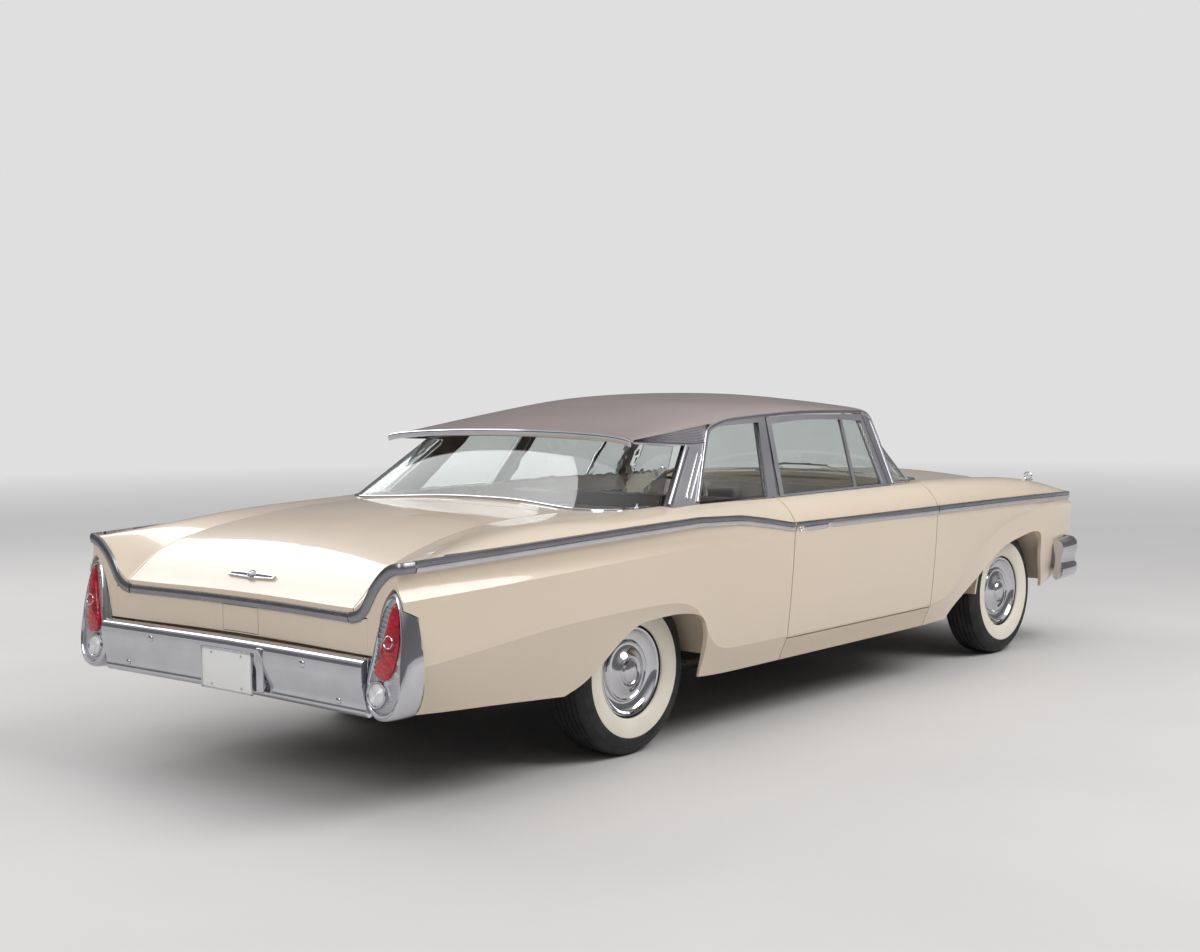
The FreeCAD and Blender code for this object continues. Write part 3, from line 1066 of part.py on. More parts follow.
def bench(front_place, seat_floor, back_floor, depth, lean_share, half):
    """A bench seat: cushion and a back that leans, cut to the car's width."""
    cushion = block(FreeCAD.Vector(-half, front_place, seat_floor),
                    FreeCAD.Vector(half, front_place + depth, seat_floor + cushion_height))
    foot = FreeCAD.Vector(-half, front_place + depth - back_thickness * 0.4, back_floor)
    rise = seat_floor + cushion_height * 0.6 + back_height - back_floor
    corners = [foot, foot + FreeCAD.Vector(0, back_thickness, 0),
               foot + FreeCAD.Vector(0, back_thickness + rise * lean_share, rise),
               foot + FreeCAD.Vector(0, rise * lean_share + back_thickness * 0.3, rise)]
    back = flat_face(corners).extrude(FreeCAD.Vector(half * 2, 0, 0))
    return cushion.fuse(back)


seat_floor = floor_top + tunnel_height + seat_gap
front_seat = bench(long_unit * -0.280, seat_floor, seat_floor, cushion_depth, 0.16, seat_half)
rear_back_floor = heel_height + floor_wall + seat_gap
rear_half = wide_unit * 0.630
rear_seat = bench(long_unit * 0.500, seat_floor, rear_back_floor, size("rear_cushion_depth"), 0.22, rear_half)
seat_frames = []
for side in (1, -1):
    for y_share in (-0.230, 0.120):
        seat_frames.append(block(FreeCAD.Vector(min(side * seat_half * 0.45, side * seat_half * 0.85), long_unit * y_share, floor_top + seat_gap),
                                 FreeCAD.Vector(max(side * seat_half * 0.45, side * seat_half * 0.85), long_unit * y_share + rail_width, seat_floor)))
front_seat = front_seat.fuse(seat_frames)
rear_base = block(FreeCAD.Vector(-rear_half, long_unit * 0.520, floor_top + seat_gap),
                  FreeCAD.Vector(rear_half, long_unit * 0.970, seat_floor))
rear_base = rear_base.cut(block(FreeCAD.Vector(-tunnel_half - seat_gap, 0, 0), FreeCAD.Vector(tunnel_half + seat_gap, high, floor_top + tunnel_height + seat_gap)))
rear_seat = rear_seat.fuse(rear_base)
dash_shares = ((-1.0157, 0.700), (-0.860, 0.690), (-0.800, 0.780), (-0.800, 0.880), (-0.880, 0.962), (-1.0157, 0.965))
dashboard = side_prism(dash_shares, -wide_unit * 0.8147, wide_unit * 0.8147)
wheel_centre = point(0.380, -0.470, 0.850)
column_foot = point(0.380, -1.0155, 0.6075)
column_axis = wheel_centre - column_foot
column_radius = size("column_radius")
ring_radius = size("steering_wheel_radius")
ring_thick = size("steering_rim_radius")
ring = Part.makeTorus(ring_radius, ring_thick, wheel_centre, column_axis)
hub = Part.makeCylinder(column_radius * 2.2, column_radius * 1.6, wheel_centre - FreeCAD.Vector(column_axis).normalize() * column_radius * 1.2, column_axis)
spoke = Part.makeCylinder(ring_thick * 0.8, ring_radius * 2, wheel_centre - FreeCAD.Vector(ring_radius, 0, 0), FreeCAD.Vector(1, 0, 0))
steering_wheel = ring.fuse([hub, spoke])
axis_unit = FreeCAD.Vector(column_axis).normalize()
sleeve_length = column_axis.Length - column_radius * 2.2 - seat_gap
column_sleeve = Part.makeCylinder(column_radius, sleeve_length, column_foot + axis_unit * column_radius, column_axis)
clamp = block(point(0.340, -0.870, 0.655), point(0.420, -0.840, 0.740))
dashboard = dashboard.fuse([column_sleeve, clamp])

keep("chassis_frame", frame_piece)
keep("floor_and_sills", tub)
keep("front_bumper", front_bumper)
keep("rear_bumper", rear_bumper)
keep("tail_lamps", Part.makeCompound([lens, mirrored(lens)]))
keep("grille", grille)
keep("headlamps", Part.makeCompound(lamps))
keep("engine_block", engine)
keep("gearbox_and_shaft", drive_piece)
keep("rear_axle", rear_axle_piece)
keep("exhaust", exhaust)
keep("fuel_tank", tank)
keep("front_suspension", Part.makeCompound(suspension_parts))
keep("knuckle_left", knuckles[0])
keep("knuckle_right", knuckles[1])
keep("front_seat", front_seat)
keep("rear_seat", rear_seat)
keep("dashboard", dashboard)
keep("steering_wheel", steering_wheel)
for name, side, axle in wheel_places:
    centre = FreeCAD.Vector(side * half_track, axle, wheel_height)
    keep("wheel_" + name, wheel_solid(centre, side))
    keep("tyre_" + name, tyre_solid(centre, side))

doc.recompute()
os.makedirs("parts", exist_ok=True)
for item in doc.Objects:
    if "Invalid" in item.State or "Error" in item.State:
        raise RuntimeError("failed object: " + item.Name)
for item in pieces:
    if item.Shape.isNull() or not item.Shape.isValid():
        raise RuntimeError("bad shape: " + item.Label)
for item in pieces:
    item.Shape.exportStep("parts/" + item.Label + ".step")
    print(item.Label, len(item.Shape.Solids), round(item.Shape.Volume / 1e6, 2), len(item.Shape.Faces))
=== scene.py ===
import math

import bpy
from bpy.props import FloatProperty, FloatVectorProperty, IntProperty, PointerProperty
from mathutils import Matrix, Vector
from mathutils.bvhtree import BVHTree


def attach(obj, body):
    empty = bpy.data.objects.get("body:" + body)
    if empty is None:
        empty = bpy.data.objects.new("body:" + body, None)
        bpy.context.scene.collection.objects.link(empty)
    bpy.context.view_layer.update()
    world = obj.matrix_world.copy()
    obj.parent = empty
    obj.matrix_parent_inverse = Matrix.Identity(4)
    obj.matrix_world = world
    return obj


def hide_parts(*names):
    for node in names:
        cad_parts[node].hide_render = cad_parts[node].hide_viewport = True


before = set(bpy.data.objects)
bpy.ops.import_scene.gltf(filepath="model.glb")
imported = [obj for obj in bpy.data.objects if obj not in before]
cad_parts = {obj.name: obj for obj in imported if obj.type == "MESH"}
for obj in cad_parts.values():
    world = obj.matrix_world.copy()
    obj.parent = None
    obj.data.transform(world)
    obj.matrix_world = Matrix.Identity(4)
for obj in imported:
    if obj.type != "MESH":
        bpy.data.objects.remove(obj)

bl_info = {
    "name": "Two-Door Sedan Dresser",
    "version": (1, 0, 0),
    "blender": (4, 5, 0),
    "location": "View3D > Sidebar > Sedan",
    "description": "Dresses the packed two-door sedan with paint, bright trim, glass, seats and running gear",
    "category": "Object",
}

# Lines of the body in metres: place along the car against height.
FIN_LINE = ((-2.62, 0.844), (-2.40, 0.852), (-2.00, 0.864), (-1.50, 0.872), (-1.00, 0.877), (-0.50, 0.880),
            (0.00, 0.883), (0.42, 0.887), (0.62, 0.920), (0.80, 0.945), (1.10, 0.957), (1.50, 0.948),
            (1.90, 0.936), (2.30, 0.922), (2.60, 0.911), (2.70, 0.908), (2.80, 0.900))
DOOR_FRONT = -0.866
DOOR_REAR = 0.403
BELT_HEIGHT = 1.0
BELT_HALF = 0.882
WIDEST = 1.01345
LEAN = 0.49
FRONT_AXLE = -1.85
REAR_AXLE = 1.35
WHEEL_HEIGHT = 0.345
HALF_TRACK = 0.762
# The belt band lies lower beside a door handle, between these places along the car.
HANDLE_ROOM = (0.105, 0.390)
MAIN_BODY = "body"
SIDES = ((1, "left"), (-1, "right"))


def read_line(table, place):
    """Read a table of (place, value) pairs, straight between the pairs."""
    if place <= table[0][0]:
        return table[0][1]
    for (place_0, value_0), (place_1, value_1) in zip(table, table[1:]):
        if place <= place_1:
            return value_0 + (place - place_0) / (place_1 - place_0) * (value_1 - value_0)
    return table[-1][1]


def spread(low, high, count):
    """Evenly spaced values from low to high."""
    return [low + (high - low) * step / (count - 1) for step in range(count)]


def smooth_run(points, per_span, closed=False):
    """Points on a smooth curve through the given points."""
    count = len(points)
    spots = [Vector(spot) for spot in points]
    result = []
    spans = count if closed else count - 1
    for index in range(spans):
        if closed:
            before, start = spots[index - 1], spots[index]
            end, after = spots[(index + 1) % count], spots[(index + 2) % count]
        else:
            start, end = spots[index], spots[index + 1]
            before = spots[index - 1] if index > 0 else start * 2 - end
            after = spots[index + 2] if index + 2 < count else end * 2 - start
        for step in range(per_span):
            t = step / per_span
            result.append(0.5 * (2 * start + (end - before) * t
                                 + (2 * before - 5 * start + 4 * end - after) * t * t
                                 + (3 * start - before - 3 * end + after) * t * t * t))
    if not closed:
        result.append(spots[-1])
    return result


def heading(path, index):
    """The way a path runs at one of its points."""
    return path[min(index + 1, len(path) - 1)] - path[max(index - 1, 0)]


# The record's material slot that each look stands for.
SLOTS = {"black": "frame_steel", "body": "body_paint", "brushed": "chrome", "chrome": "chrome",
         "dark": "tyre", "dash": "dash", "fluted_lens": "lamp_clear", "iron": "cast",
         "lamp_bed": "lamp_clear", "lens_red": "lamp_red", "light_satin": "chrome",
         "milk_lens": "lamp_clear", "pale_vinyl": "vinyl", "plate_white": "ivory", "rubber": "tyre",
         "satin": "chrome", "steel": "steel", "vinyl": "vinyl", "vinyl_plain": "vinyl", "white_wall": "tyre"}


# Modelling helpers

def clear_selection():
    if bpy.context.object and bpy.context.object.mode != "OBJECT":
        bpy.ops.object.mode_set(mode="OBJECT")
    bpy.ops.object.select_all(action="DESELECT")


def only(piece):
    """Make one object the whole selection."""
    clear_selection()
    piece.select_set(True)
    bpy.context.view_layer.objects.active = piece


def edit(piece):
    only(piece)
    bpy.ops.object.mode_set(mode="EDIT")
    bpy.ops.mesh.select_all(action="SELECT")


def leave_edit():
    bpy.ops.object.mode_set(mode="OBJECT")


def tidy_mesh(piece, fill_ends=False):
    """Merge doubles, close the ends and turn the faces outwards."""
    edit(piece)
    bpy.ops.mesh.remove_doubles(threshold=2e-5)
    if fill_ends:
        bpy.ops.mesh.select_all(action="DESELECT")
        bpy.ops.mesh.select_non_manifold(extend=False, use_wire=False, use_multi_face=False,
                                         use_non_contiguous=False, use_verts=False)
        bpy.ops.mesh.fill_holes(sides=0)
        bpy.ops.mesh.select_all(action="SELECT")
    bpy.ops.mesh.normals_make_consistent(inside=False)
    leave_edit()


def rows_piece(rows, fill_ends=False):
    """A form whose mesh runs through rows of points."""
    clear_selection()
    bpy.ops.mesh.primitive_grid_add(x_subdivisions=len(rows[0]) - 1, y_subdivisions=len(rows) - 1, size=1)
    piece = bpy.context.object
    for vertex, place in zip(piece.data.vertices, [spot for row in rows for spot in row]):
        vertex.co = place
    tidy_mesh(piece, fill_ends)
    return piece


def ring_form(rings, fill_ends=True):
    """A form whose mesh runs over rings of points, closed at both ends unless told otherwise."""
    return rows_piece([ring + [ring[0]] for ring in rings], fill_ends)


def swept(stations, profile):
    """Carry a closed profile along stations, each an (origin, out, up) of vectors."""
    return ring_form([[origin + out * a + up * b for a, b in profile] for origin, out, up in stations])


def lathe(profile, centre, axis, steps=64):
    """Spin an open run of (along the axis, radius) points about an axis."""
    clear_selection()
    axis = Vector(axis).normalized()
    away = axis.orthogonal().normalized()
    bpy.ops.mesh.primitive_circle_add(vertices=len(profile), radius=1, fill_type="NOTHING")
    piece = bpy.context.object
    for vertex, (reach, radius) in zip(piece.data.vertices, profile):
        vertex.co = Vector(centre) + axis * reach + away * radius
    last = len(profile) - 1
    for edge in piece.data.edges:
        edge.select = set(edge.vertices) == {0, last}
    only(piece)
    for vertex in piece.data.vertices:
        vertex.select = vertex.index in (0, last)
    bpy.ops.object.mode_set(mode="EDIT")
    bpy.context.tool_settings.mesh_select_mode = (False, True, False)
    bpy.ops.mesh.delete(type="EDGE")
    bpy.context.tool_settings.mesh_select_mode = (True, False, False)
    bpy.ops.mesh.select_all(action="SELECT")
    bpy.ops.mesh.spin(steps=steps, angle=math.tau, center=centre, axis=axis)
    leave_edit()
    tidy_mesh(piece)
    return piece


def tube(points, radius, closed=False):
    """A round bar along points."""
    clear_selection()
    bpy.ops.curve.primitive_nurbs_path_add()
    run = bpy.context.object
    run.data.splines.clear()
    spline = run.data.splines.new("POLY")
    spline.points.add(len(points) - 1)
    for spot, place in zip(spline.points, points):
        spot.co = (*place, 1)
    spline.use_cyclic_u = closed
    run.data.dimensions = "3D"
    run.data.bevel_depth = radius
    run.data.bevel_resolution = 3
    run.data.use_fill_caps = True
    bpy.ops.object.convert(target="MESH")
    piece = bpy.context.object
    tidy_mesh(piece)
    return piece


def rounded_block(low, high, edge, segments=3):
    """A block between two corners with rounded edges."""
    clear_selection()
    low, high = Vector(low), Vector(high)
    bpy.ops.mesh.primitive_cube_add(size=1, location=(low + high) / 2)
    piece = bpy.context.object
    piece.scale = high - low
    bpy.ops.object.transform_apply(location=True, rotation=False, scale=True)
    only(piece)
    bevel = piece.modifiers.new("Round", "BEVEL")
    bevel.width = edge
    bevel.segments = segments
    bevel.limit_method = "ANGLE"
    bevel.angle_limit = 0.5
    bpy.ops.object.modifier_apply(modifier=bevel.name)
    return piece


def cross_block(x, half, low, high, edge, segments=3):
    """A rounded block from x - half to x + half, between two corners as (along the car, height)."""
    return rounded_block((x - half, *low), (x + half, *high), edge, segments)


def dome(place, radius, rise, axis, steps):
    """The round cap of a bolt."""
    profile = [(-0.004, radius), (0.001, radius)]
    profile += [(0.001 + rise * math.sin(turn), radius * math.cos(turn))
                for turn in spread(0.2, math.pi / 2, 6)]
    return lathe(profile, place, axis, steps)


def joined(parts):
    """One piece from several meshes."""
    clear_selection()
    for part in parts:
        part.select_set(True)
    bpy.context.view_layer.objects.active = parts[0]
    if len(parts) > 1:
        bpy.ops.object.join()
    return bpy.context.object


def settle(piece, name, look, body=MAIN_BODY, slot=None, angle=0.6):
    """Name a finished piece, give it its look and let it ride on its body."""
    slot = slot or SLOTS[look]
    only(piece)
    bpy.ops.object.transform_apply(location=True, rotation=True, scale=True)
    piece.name = name
    piece.data.name = name
    piece.data.materials.clear()
    piece.data.materials.append(finish(look))
    bpy.ops.object.shade_smooth_by_angle(angle=angle)
    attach(piece, body)
    clear_selection()
    return piece


class Shell:
    """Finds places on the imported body."""

    def __init__(self, names):
        corners = []
        faces = []
        for name in names:
            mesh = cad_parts[name].data
            first = len(corners)
            corners += [vertex.co.copy() for vertex in mesh.vertices]
            faces += [[first + index for index in polygon.vertices] for polygon in mesh.polygons]
        self.tree = BVHTree.FromPolygons(corners, faces)

    def side(self, y, z, side):
        """Half breadth of the body at a place seen from one side."""
        hit = self.tree.ray_cast(Vector((side * 1.4, y, z)), Vector((-side, 0, 0)))[0]
        if hit is None or abs(hit.x) < 0.6:
            hit = self.tree.find_nearest(Vector((side * 0.98, y, z)))[0]
        return abs(hit.x)

    def top(self, x, y):
        hit = self.tree.ray_cast(Vector((x, y, 2)), Vector((0, 0, -1)))[0]
        return hit.z if hit else None

    def tail(self, x, z):
        hit = self.tree.ray_cast(Vector((x, 3.2, z)), Vector((0, -1, 0)))[0]
        return hit.y if hit else None

    def nose(self, x, z):
        hit = self.tree.ray_cast(Vector((x, -3.2, z)), Vector((0, 1, 0)))[0]
        return hit.y if hit else None


def side_x(z):
    """The leaning side plane of the upper body."""
    return BELT_HALF - LEAN * (z - BELT_HEIGHT)


# Finishes

class Finish:
    """Builds a node material around one shader."""

    def __init__(self, name, colour, metallic=0.0, roughness=0.5, coat=0.0, specular=0.5):
        self.material = bpy.data.materials.new(name)
        self.material.use_nodes = True
        self.tree = self.material.node_tree
        self.shader = self.tree.nodes["Principled BSDF"]
        self.colour = self.rgb(colour)
        self.shader.inputs["Metallic"].default_value = metallic
        self.shader.inputs["Roughness"].default_value = roughness
        self.shader.inputs["Coat Weight"].default_value = coat
        self.shader.inputs["Coat Roughness"].default_value = 0.03
        self.shader.inputs["Specular IOR Level"].default_value = specular
        self.link(self.colour, self.shader.inputs["Base Color"])

    def node(self, kind, **settings):
        made = self.tree.nodes.new(kind)
        for key, value in settings.items():
            setattr(made, key, value)
        return made

    def link(self, source, target):
        self.tree.links.new(source, target)

    def rgb(self, colour):
        made = self.node("ShaderNodeRGB")
        made.outputs[0].default_value = (*colour[:3], 1)
        return made.outputs[0]

    def place(self, stretch=(1, 1, 1)):
        where = self.node("ShaderNodeTexCoord")
        mapping = self.node("ShaderNodeMapping")
        mapping.inputs["Scale"].default_value = stretch
        self.link(where.outputs["Object"], mapping.inputs["Vector"])
        return mapping.outputs[0]

    def axes(self):
        where = self.node("ShaderNodeTexCoord")
        split = self.node("ShaderNodeSeparateXYZ")
        self.link(where.outputs["Object"], split.inputs[0])
        return split.outputs

    def noise(self, scale, detail=3.0, stretch=(1, 1, 1)):
        made = self.node("ShaderNodeTexNoise")
        made.inputs["Scale"].default_value = scale
        made.inputs["Detail"].default_value = detail
        self.link(self.place(stretch), made.inputs["Vector"])
        return made.outputs[0]

    def math(self, kind, first, second=0.0):
        made = self.node("ShaderNodeMath", operation=kind)
        for socket, value in zip(made.inputs, (first, second)):
            if isinstance(value, (int, float)):
                socket.default_value = value
            else:
                self.link(value, socket)
        return made.outputs[0]

    def band(self, value, low, high):
        """One between low and high, and nothing outside."""
        return self.math("MULTIPLY", self.math("GREATER_THAN", value, low),
                         self.math("LESS_THAN", value, high))

    def spread(self, value, low, high, out_low=0.0, out_high=1.0):
        made = self.node("ShaderNodeMapRange")
        for socket, amount in zip(made.inputs[1:5], (low, high, out_low, out_high)):
            socket.default_value = amount
        self.link(value, made.inputs[0])
        return made.outputs[0]

    def blend(self, share, first, second):
        """Mix two colours by a share."""
        made = self.node("ShaderNodeMix", data_type="RGBA")
        if isinstance(share, (int, float)):
            made.inputs[0].default_value = share
        else:
            self.link(share, made.inputs[0])
        self.link(first, made.inputs[6])
        self.link(second, made.inputs[7])
        return made.outputs[2]

    def paint(self, colour):
        self.colour = colour
        self.link(colour, self.shader.inputs["Base Color"])

    def vary(self, other, scale, share):
        """Let another tone come and go over the surface."""
        amount = self.spread(self.noise(scale, 4.0), 0.35, 0.65, 0.0, share)
        self.paint(self.blend(amount, self.colour, self.rgb(other)))

    def rough(self, low, high, scale, stretch=(1, 1, 1)):
        self.link(self.spread(self.noise(scale, 3.0, stretch), 0.3, 0.7, low, high),
                  self.shader.inputs["Roughness"])

    def bump(self, height, strength, distance=0.001):
        made = self.node("ShaderNodeBump")
        made.inputs["Strength"].default_value = strength
        made.inputs["Distance"].default_value = distance
        self.link(height, made.inputs["Height"])
        earlier = self.shader.inputs["Normal"].links
        if earlier:
            self.link(earlier[0].from_socket, made.inputs["Normal"])
        self.link(made.outputs[0], self.shader.inputs["Normal"])

    def ripple(self, way, scale, strength, distance):
        """Fine ribs that run across one direction."""
        waves = self.node("ShaderNodeTexWave")
        waves.bands_direction = way
        waves.inputs["Scale"].default_value = scale
        self.link(self.place(), waves.inputs["Vector"])
        self.bump(waves.outputs["Fac"], strength, distance)

    def grain(self, scale, strength, stretch=(1, 1, 1), distance=0.001):
        self.bump(self.noise(scale, 2.0, stretch), strength, distance)


FINISHES = {}


def finish(name):
    return FINISHES[name].material


def enamel(name, colour, second, metallic=0.0):
    """Gloss paint with a clear top, faint waves and painted shade low down, darker towards the bottom."""
    made = Finish(name, colour, metallic, 0.34, coat=0.8)
    made.vary(second, 1.3, 0.7)
    # Painted shade: the enamel turns darker towards the bottom, from 0.55 m down to 0.25 m.
    painted_low_shade = made.spread(made.axes()[2], 0.55, 0.25, 0.0, 0.10)
    made.paint(made.blend(painted_low_shade, made.colour, made.rgb((0.35, 0.30, 0.24))))
    made.rough(0.28, 0.34, 6)
    made.grain(60, 0.004)
    return made


def bright(name, colour, low, high, streak=(1, 1, 1), scale=40, strength=0.03):
    """Plated or polished metal with faint polishing marks."""
    made = Finish(name, colour, 1.0, low)
    made.vary([tone * 0.86 for tone in colour], 9, 0.6)
    made.rough(low, high, scale * 0.3, streak)
    made.grain(scale * 2, strength * 0.3, streak)
    return made


def plain(key, name, colour, second, scale, share=0.6, rough=None, grain=None, **settings):
    """One colour that a second tone varies, with its own roughness and grain."""
    made = Finish(name, colour, **settings)
    made.vary(second, scale, share)
    if rough:
        made.rough(*rough)
    if grain:
        made.grain(*grain)
    FINISHES[key] = made
    return made


def clear_glass(name, colour, roughness=0.0):
    """Glass that lets the lamps through to what is behind it."""
    made = Finish(name, colour, 0.0, roughness)
    made.shader.inputs["Transmission Weight"].default_value = 1.0
    made.shader.inputs["IOR"].default_value = 1.45
    made.vary([tone * 0.94 for tone in colour], 3, 0.5)
    path = made.node("ShaderNodeLightPath")
    see_through = made.node("ShaderNodeBsdfTransparent")
    see_through.inputs[0].default_value = (*[tone * 0.9 for tone in colour], 1)
    mixer = made.node("ShaderNodeMixShader")
    output = made.tree.nodes["Material Output"]
    made.link(path.outputs["Is Shadow Ray"], mixer.inputs[0])
    made.link(made.shader.outputs[0], mixer.inputs[1])
    made.link(see_through.outputs[0], mixer.inputs[2])
    made.link(mixer.outputs[0], output.inputs["Surface"])
    return made


# Breadths where one finish gives way to another, from the middle of the car.
PILLAR_REACH = 0.845
SILL_REACH = 0.868
SHELF_HALF = 0.72


def make_finishes(scene):
    looks = scene.sedan_looks
    cream = looks.body_colour
    rose = looks.roof_colour
    FINISHES["body"] = enamel("cream_enamel", cream, [tone * 0.95 for tone in cream])
    FINISHES["chrome"] = bright("bright_plate", looks.bright_colour, 0.05, 0.12)
    FINISHES["satin"] = bright("satin_moulding", (0.30, 0.30, 0.33), 0.22, 0.36, (1, 0.06, 1), 60, 0.05)
    FINISHES["light_satin"] = bright("light_satin_moulding", (0.62, 0.61, 0.62), 0.20, 0.32, (1, 0.06, 1),
                                     60, 0.05)
    FINISHES["brushed"] = bright("brushed_panel", (0.36, 0.35, 0.37), 0.25, 0.40, (1, 0.04, 1), 90, 0.12)

    # Doors are enamel below the belt and bright metal round the window.
    door = enamel("door_enamel", cream, [tone * 0.95 for tone in cream])
    above = door.math("GREATER_THAN", door.axes()[2], BELT_HEIGHT + 0.0005)
    door.paint(door.blend(above, door.colour, door.rgb((0.50, 0.49, 0.52))))
    door.link(above, door.shader.inputs["Metallic"])
    FINISHES["door"] = door

    # The roof shell is enamel, its pillars are bright and its lining is cloth.
    upper = enamel("roof_and_pillar_finish", rose, [tone * 0.9 for tone in rose], 0.2)
    x, y, z = upper.axes()[:3]
    run = upper.math("ADD", y, 0.10)
    rail = upper.math("SUBTRACT", 1.360, upper.math("MULTIPLY", upper.math("MULTIPLY", run, run), 0.0494))
    below = upper.math("LESS_THAN", z, rail)
    reach = upper.math("ADD", upper.math("ABSOLUTE", x),
                       upper.math("MULTIPLY", upper.math("SUBTRACT", z, BELT_HEIGHT), LEAN))
    in_pillar = upper.math("GREATER_THAN", reach, PILLAR_REACH)
    metal = upper.math("MULTIPLY", below, in_pillar)
    upper.paint(upper.blend(metal, upper.colour, upper.rgb((0.42, 0.41, 0.44))))
    lining = upper.node("ShaderNodeNewGeometry")
    facing = upper.node("ShaderNodeSeparateXYZ")
    upper.link(lining.outputs["True Normal"], facing.inputs[0])
    down = upper.math("MULTIPLY", upper.math("LESS_THAN", facing.outputs[2], -0.3),
                      upper.math("SUBTRACT", 1.0, metal))
    upper.paint(upper.blend(down, upper.colour, upper.rgb((0.62, 0.56, 0.48))))
    upper.link(metal, upper.shader.inputs["Metallic"])
    FINISHES["roof"] = upper

    FINISHES["glass"] = clear_glass("window_glass", (0.80, 0.84, 0.83))
    FINISHES["lens_clear"] = clear_glass("clear_lens", (0.95, 0.96, 0.97), 0.03)
    red = Finish("red_lens", looks.lens_colour, 0.0, 0.08, coat=1.0)
    red.vary((0.25, 0.0, 0.01), 30, 0.8)
    facets = red.node("ShaderNodeTexVoronoi")
    facets.inputs["Scale"].default_value = 75
    red.link(red.place(), facets.inputs["Vector"])
    red.bump(facets.outputs["Distance"], 0.6, 0.004)
    FINISHES["lens_red"] = red

    bed = bright("lamp_bed", (0.66, 0.66, 0.69), 0.28, 0.40)
    bed.ripple("Z", 55, 0.5, 0.002)
    FINISHES["lamp_bed"] = bed
    plain("milk_lens", "milk_lens", (0.80, 0.80, 0.80), (0.62, 0.62, 0.64), 40, grain=(300, 0.1),
          roughness=0.16, coat=1.0)
    fluted = clear_glass("fluted_lens", (0.93, 0.94, 0.95), 0.02)
    fluted.ripple("X", 38, 0.5, 0.003)
    FINISHES["fluted_lens"] = fluted

    plain("rubber", "tyre_rubber", (0.016, 0.016, 0.017), (0.045, 0.042, 0.040), 14, rough=(0.5, 0.75, 22),
          grain=(400, 0.08), roughness=0.62, specular=0.3)
    wall, seat = looks.whitewall_colour, looks.seat_colour
    plain("white_wall", "white_wall", wall, [tone * 0.88 for tone in wall], 8, grain=(300, 0.03),
          roughness=0.45)
    plain("vinyl", "brown_vinyl", seat, [tone * 0.7 for tone in seat], 5, rough=(0.28, 0.46, 60),
          grain=(900, 0.12), roughness=0.38, specular=0.6)
    plain("vinyl_plain", "plain_vinyl", [tone * 1.5 for tone in seat], seat, 4, grain=(700, 0.15),
          roughness=0.45)
    plain("pale_vinyl", "pale_vinyl", (0.55, 0.45, 0.36), (0.48, 0.38, 0.30), 6, grain=(900, 0.12),
          roughness=0.42)
    plain("dash", "dash_enamel", (0.16, 0.115, 0.095), (0.12, 0.085, 0.07), 4, grain=(500, 0.05),
          roughness=0.35, coat=0.4)
    plain("ivory", "ivory_plastic", (0.80, 0.76, 0.66), (0.74, 0.69, 0.58), 12, roughness=0.22, coat=0.5)
    carpet = Finish("brown_carpet", (0.10, 0.075, 0.06), 0.0, 0.95)
    carpet.vary((0.055, 0.04, 0.033), 120, 0.9)
    carpet.grain(700, 0.6, distance=0.003)
    # The sills outside the carpet are enamel.
    sill = carpet.math("GREATER_THAN", carpet.math("ABSOLUTE", carpet.axes()[0]), SILL_REACH)
    carpet.paint(carpet.blend(sill, carpet.colour, carpet.rgb(cream)))
    carpet.link(carpet.spread(sill, 0, 1, 0.95, 0.30), carpet.shader.inputs["Roughness"])
    FINISHES["carpet"] = carpet

    # The deck is enamel outside, and the shelf behind the rear seat is dark trim.
    deck = enamel("deck_enamel", cream, [tone * 0.95 for tone in cream])
    x, y = deck.axes()[:2]
    across = deck.band(deck.math("ABSOLUTE", x), -1, SHELF_HALF)
    inside = deck.math("MULTIPLY", across, deck.band(y, 1.0, 1.352))
    deck.paint(deck.blend(inside, deck.colour, deck.rgb((0.10, 0.075, 0.06))))
    FINISHES["deck"] = deck
    plain("black", "chassis_black", (0.022, 0.021, 0.020), (0.06, 0.052, 0.045), 7, 0.7, (0.45, 0.75, 12),
          (120, 0.15), roughness=0.55)
    plain("iron", "painted_iron", (0.08, 0.10, 0.13), (0.04, 0.045, 0.05), 10, 0.8, grain=(160, 0.25),
          metallic=0.3)
    steel = bright("bare_steel", (0.32, 0.31, 0.30), 0.35, 0.6, (1, 1, 1), 20, 0.15)
    steel.vary((0.16, 0.11, 0.08), 6, 0.5)
    FINISHES["steel"] = steel
    plain("plate_white", "blank_plate", (0.86, 0.86, 0.84), (0.80, 0.80, 0.77), 10, 0.5, grain=(500, 0.03),
          roughness=0.4)
    plain("dark", "dark_trim", (0.012, 0.012, 0.013), (0.03, 0.03, 0.03), 12, grain=(400, 0.1))


NODE_FINISHES = {
    "body": ("hood", "trunk_lid", "cowl_and_firewall", "fender_left", "fender_right", "quarter_panel_left",
             "quarter_panel_right", "tail_panel", "fuel_door"),
    "deck": ("rear_deck",),
    "door": ("door_left", "door_right"),
    "roof": ("roof_and_pillars",),
    "glass": ("door_glass_left", "door_glass_right", "quarter_glasses", "windshield", "backlight"),
    "chrome": ("front_bumper", "rear_bumper", "wheel_front_left", "wheel_front_right", "wheel_rear_left",
               "wheel_rear_right"),
    "light_satin": ("grille",),
    "lens_clear": ("headlamps",),
    "lens_red": ("tail_lamps",),
    "black": ("chassis_frame", "rear_axle", "front_suspension", "knuckle_left", "knuckle_right"),
    "carpet": ("floor_and_sills",),
    "iron": ("engine_block", "gearbox_and_shaft"),
    "steel": ("exhaust", "fuel_tank"),
    "vinyl": ("front_seat", "rear_seat"),
    "dash": ("dashboard",),
    "ivory": ("steering_wheel",),
    "rubber": ("tyre_front_left", "tyre_front_right", "tyre_rear_left", "tyre_rear_right"),
}


def colour_setting(name, description, default):
    return FloatVectorProperty(name=name, description=description, subtype="COLOR", size=3, min=0, max=1,
                               default=default)


def length_setting(name, description, default):
    return FloatProperty(name=name, description=description, default=default, unit="LENGTH")


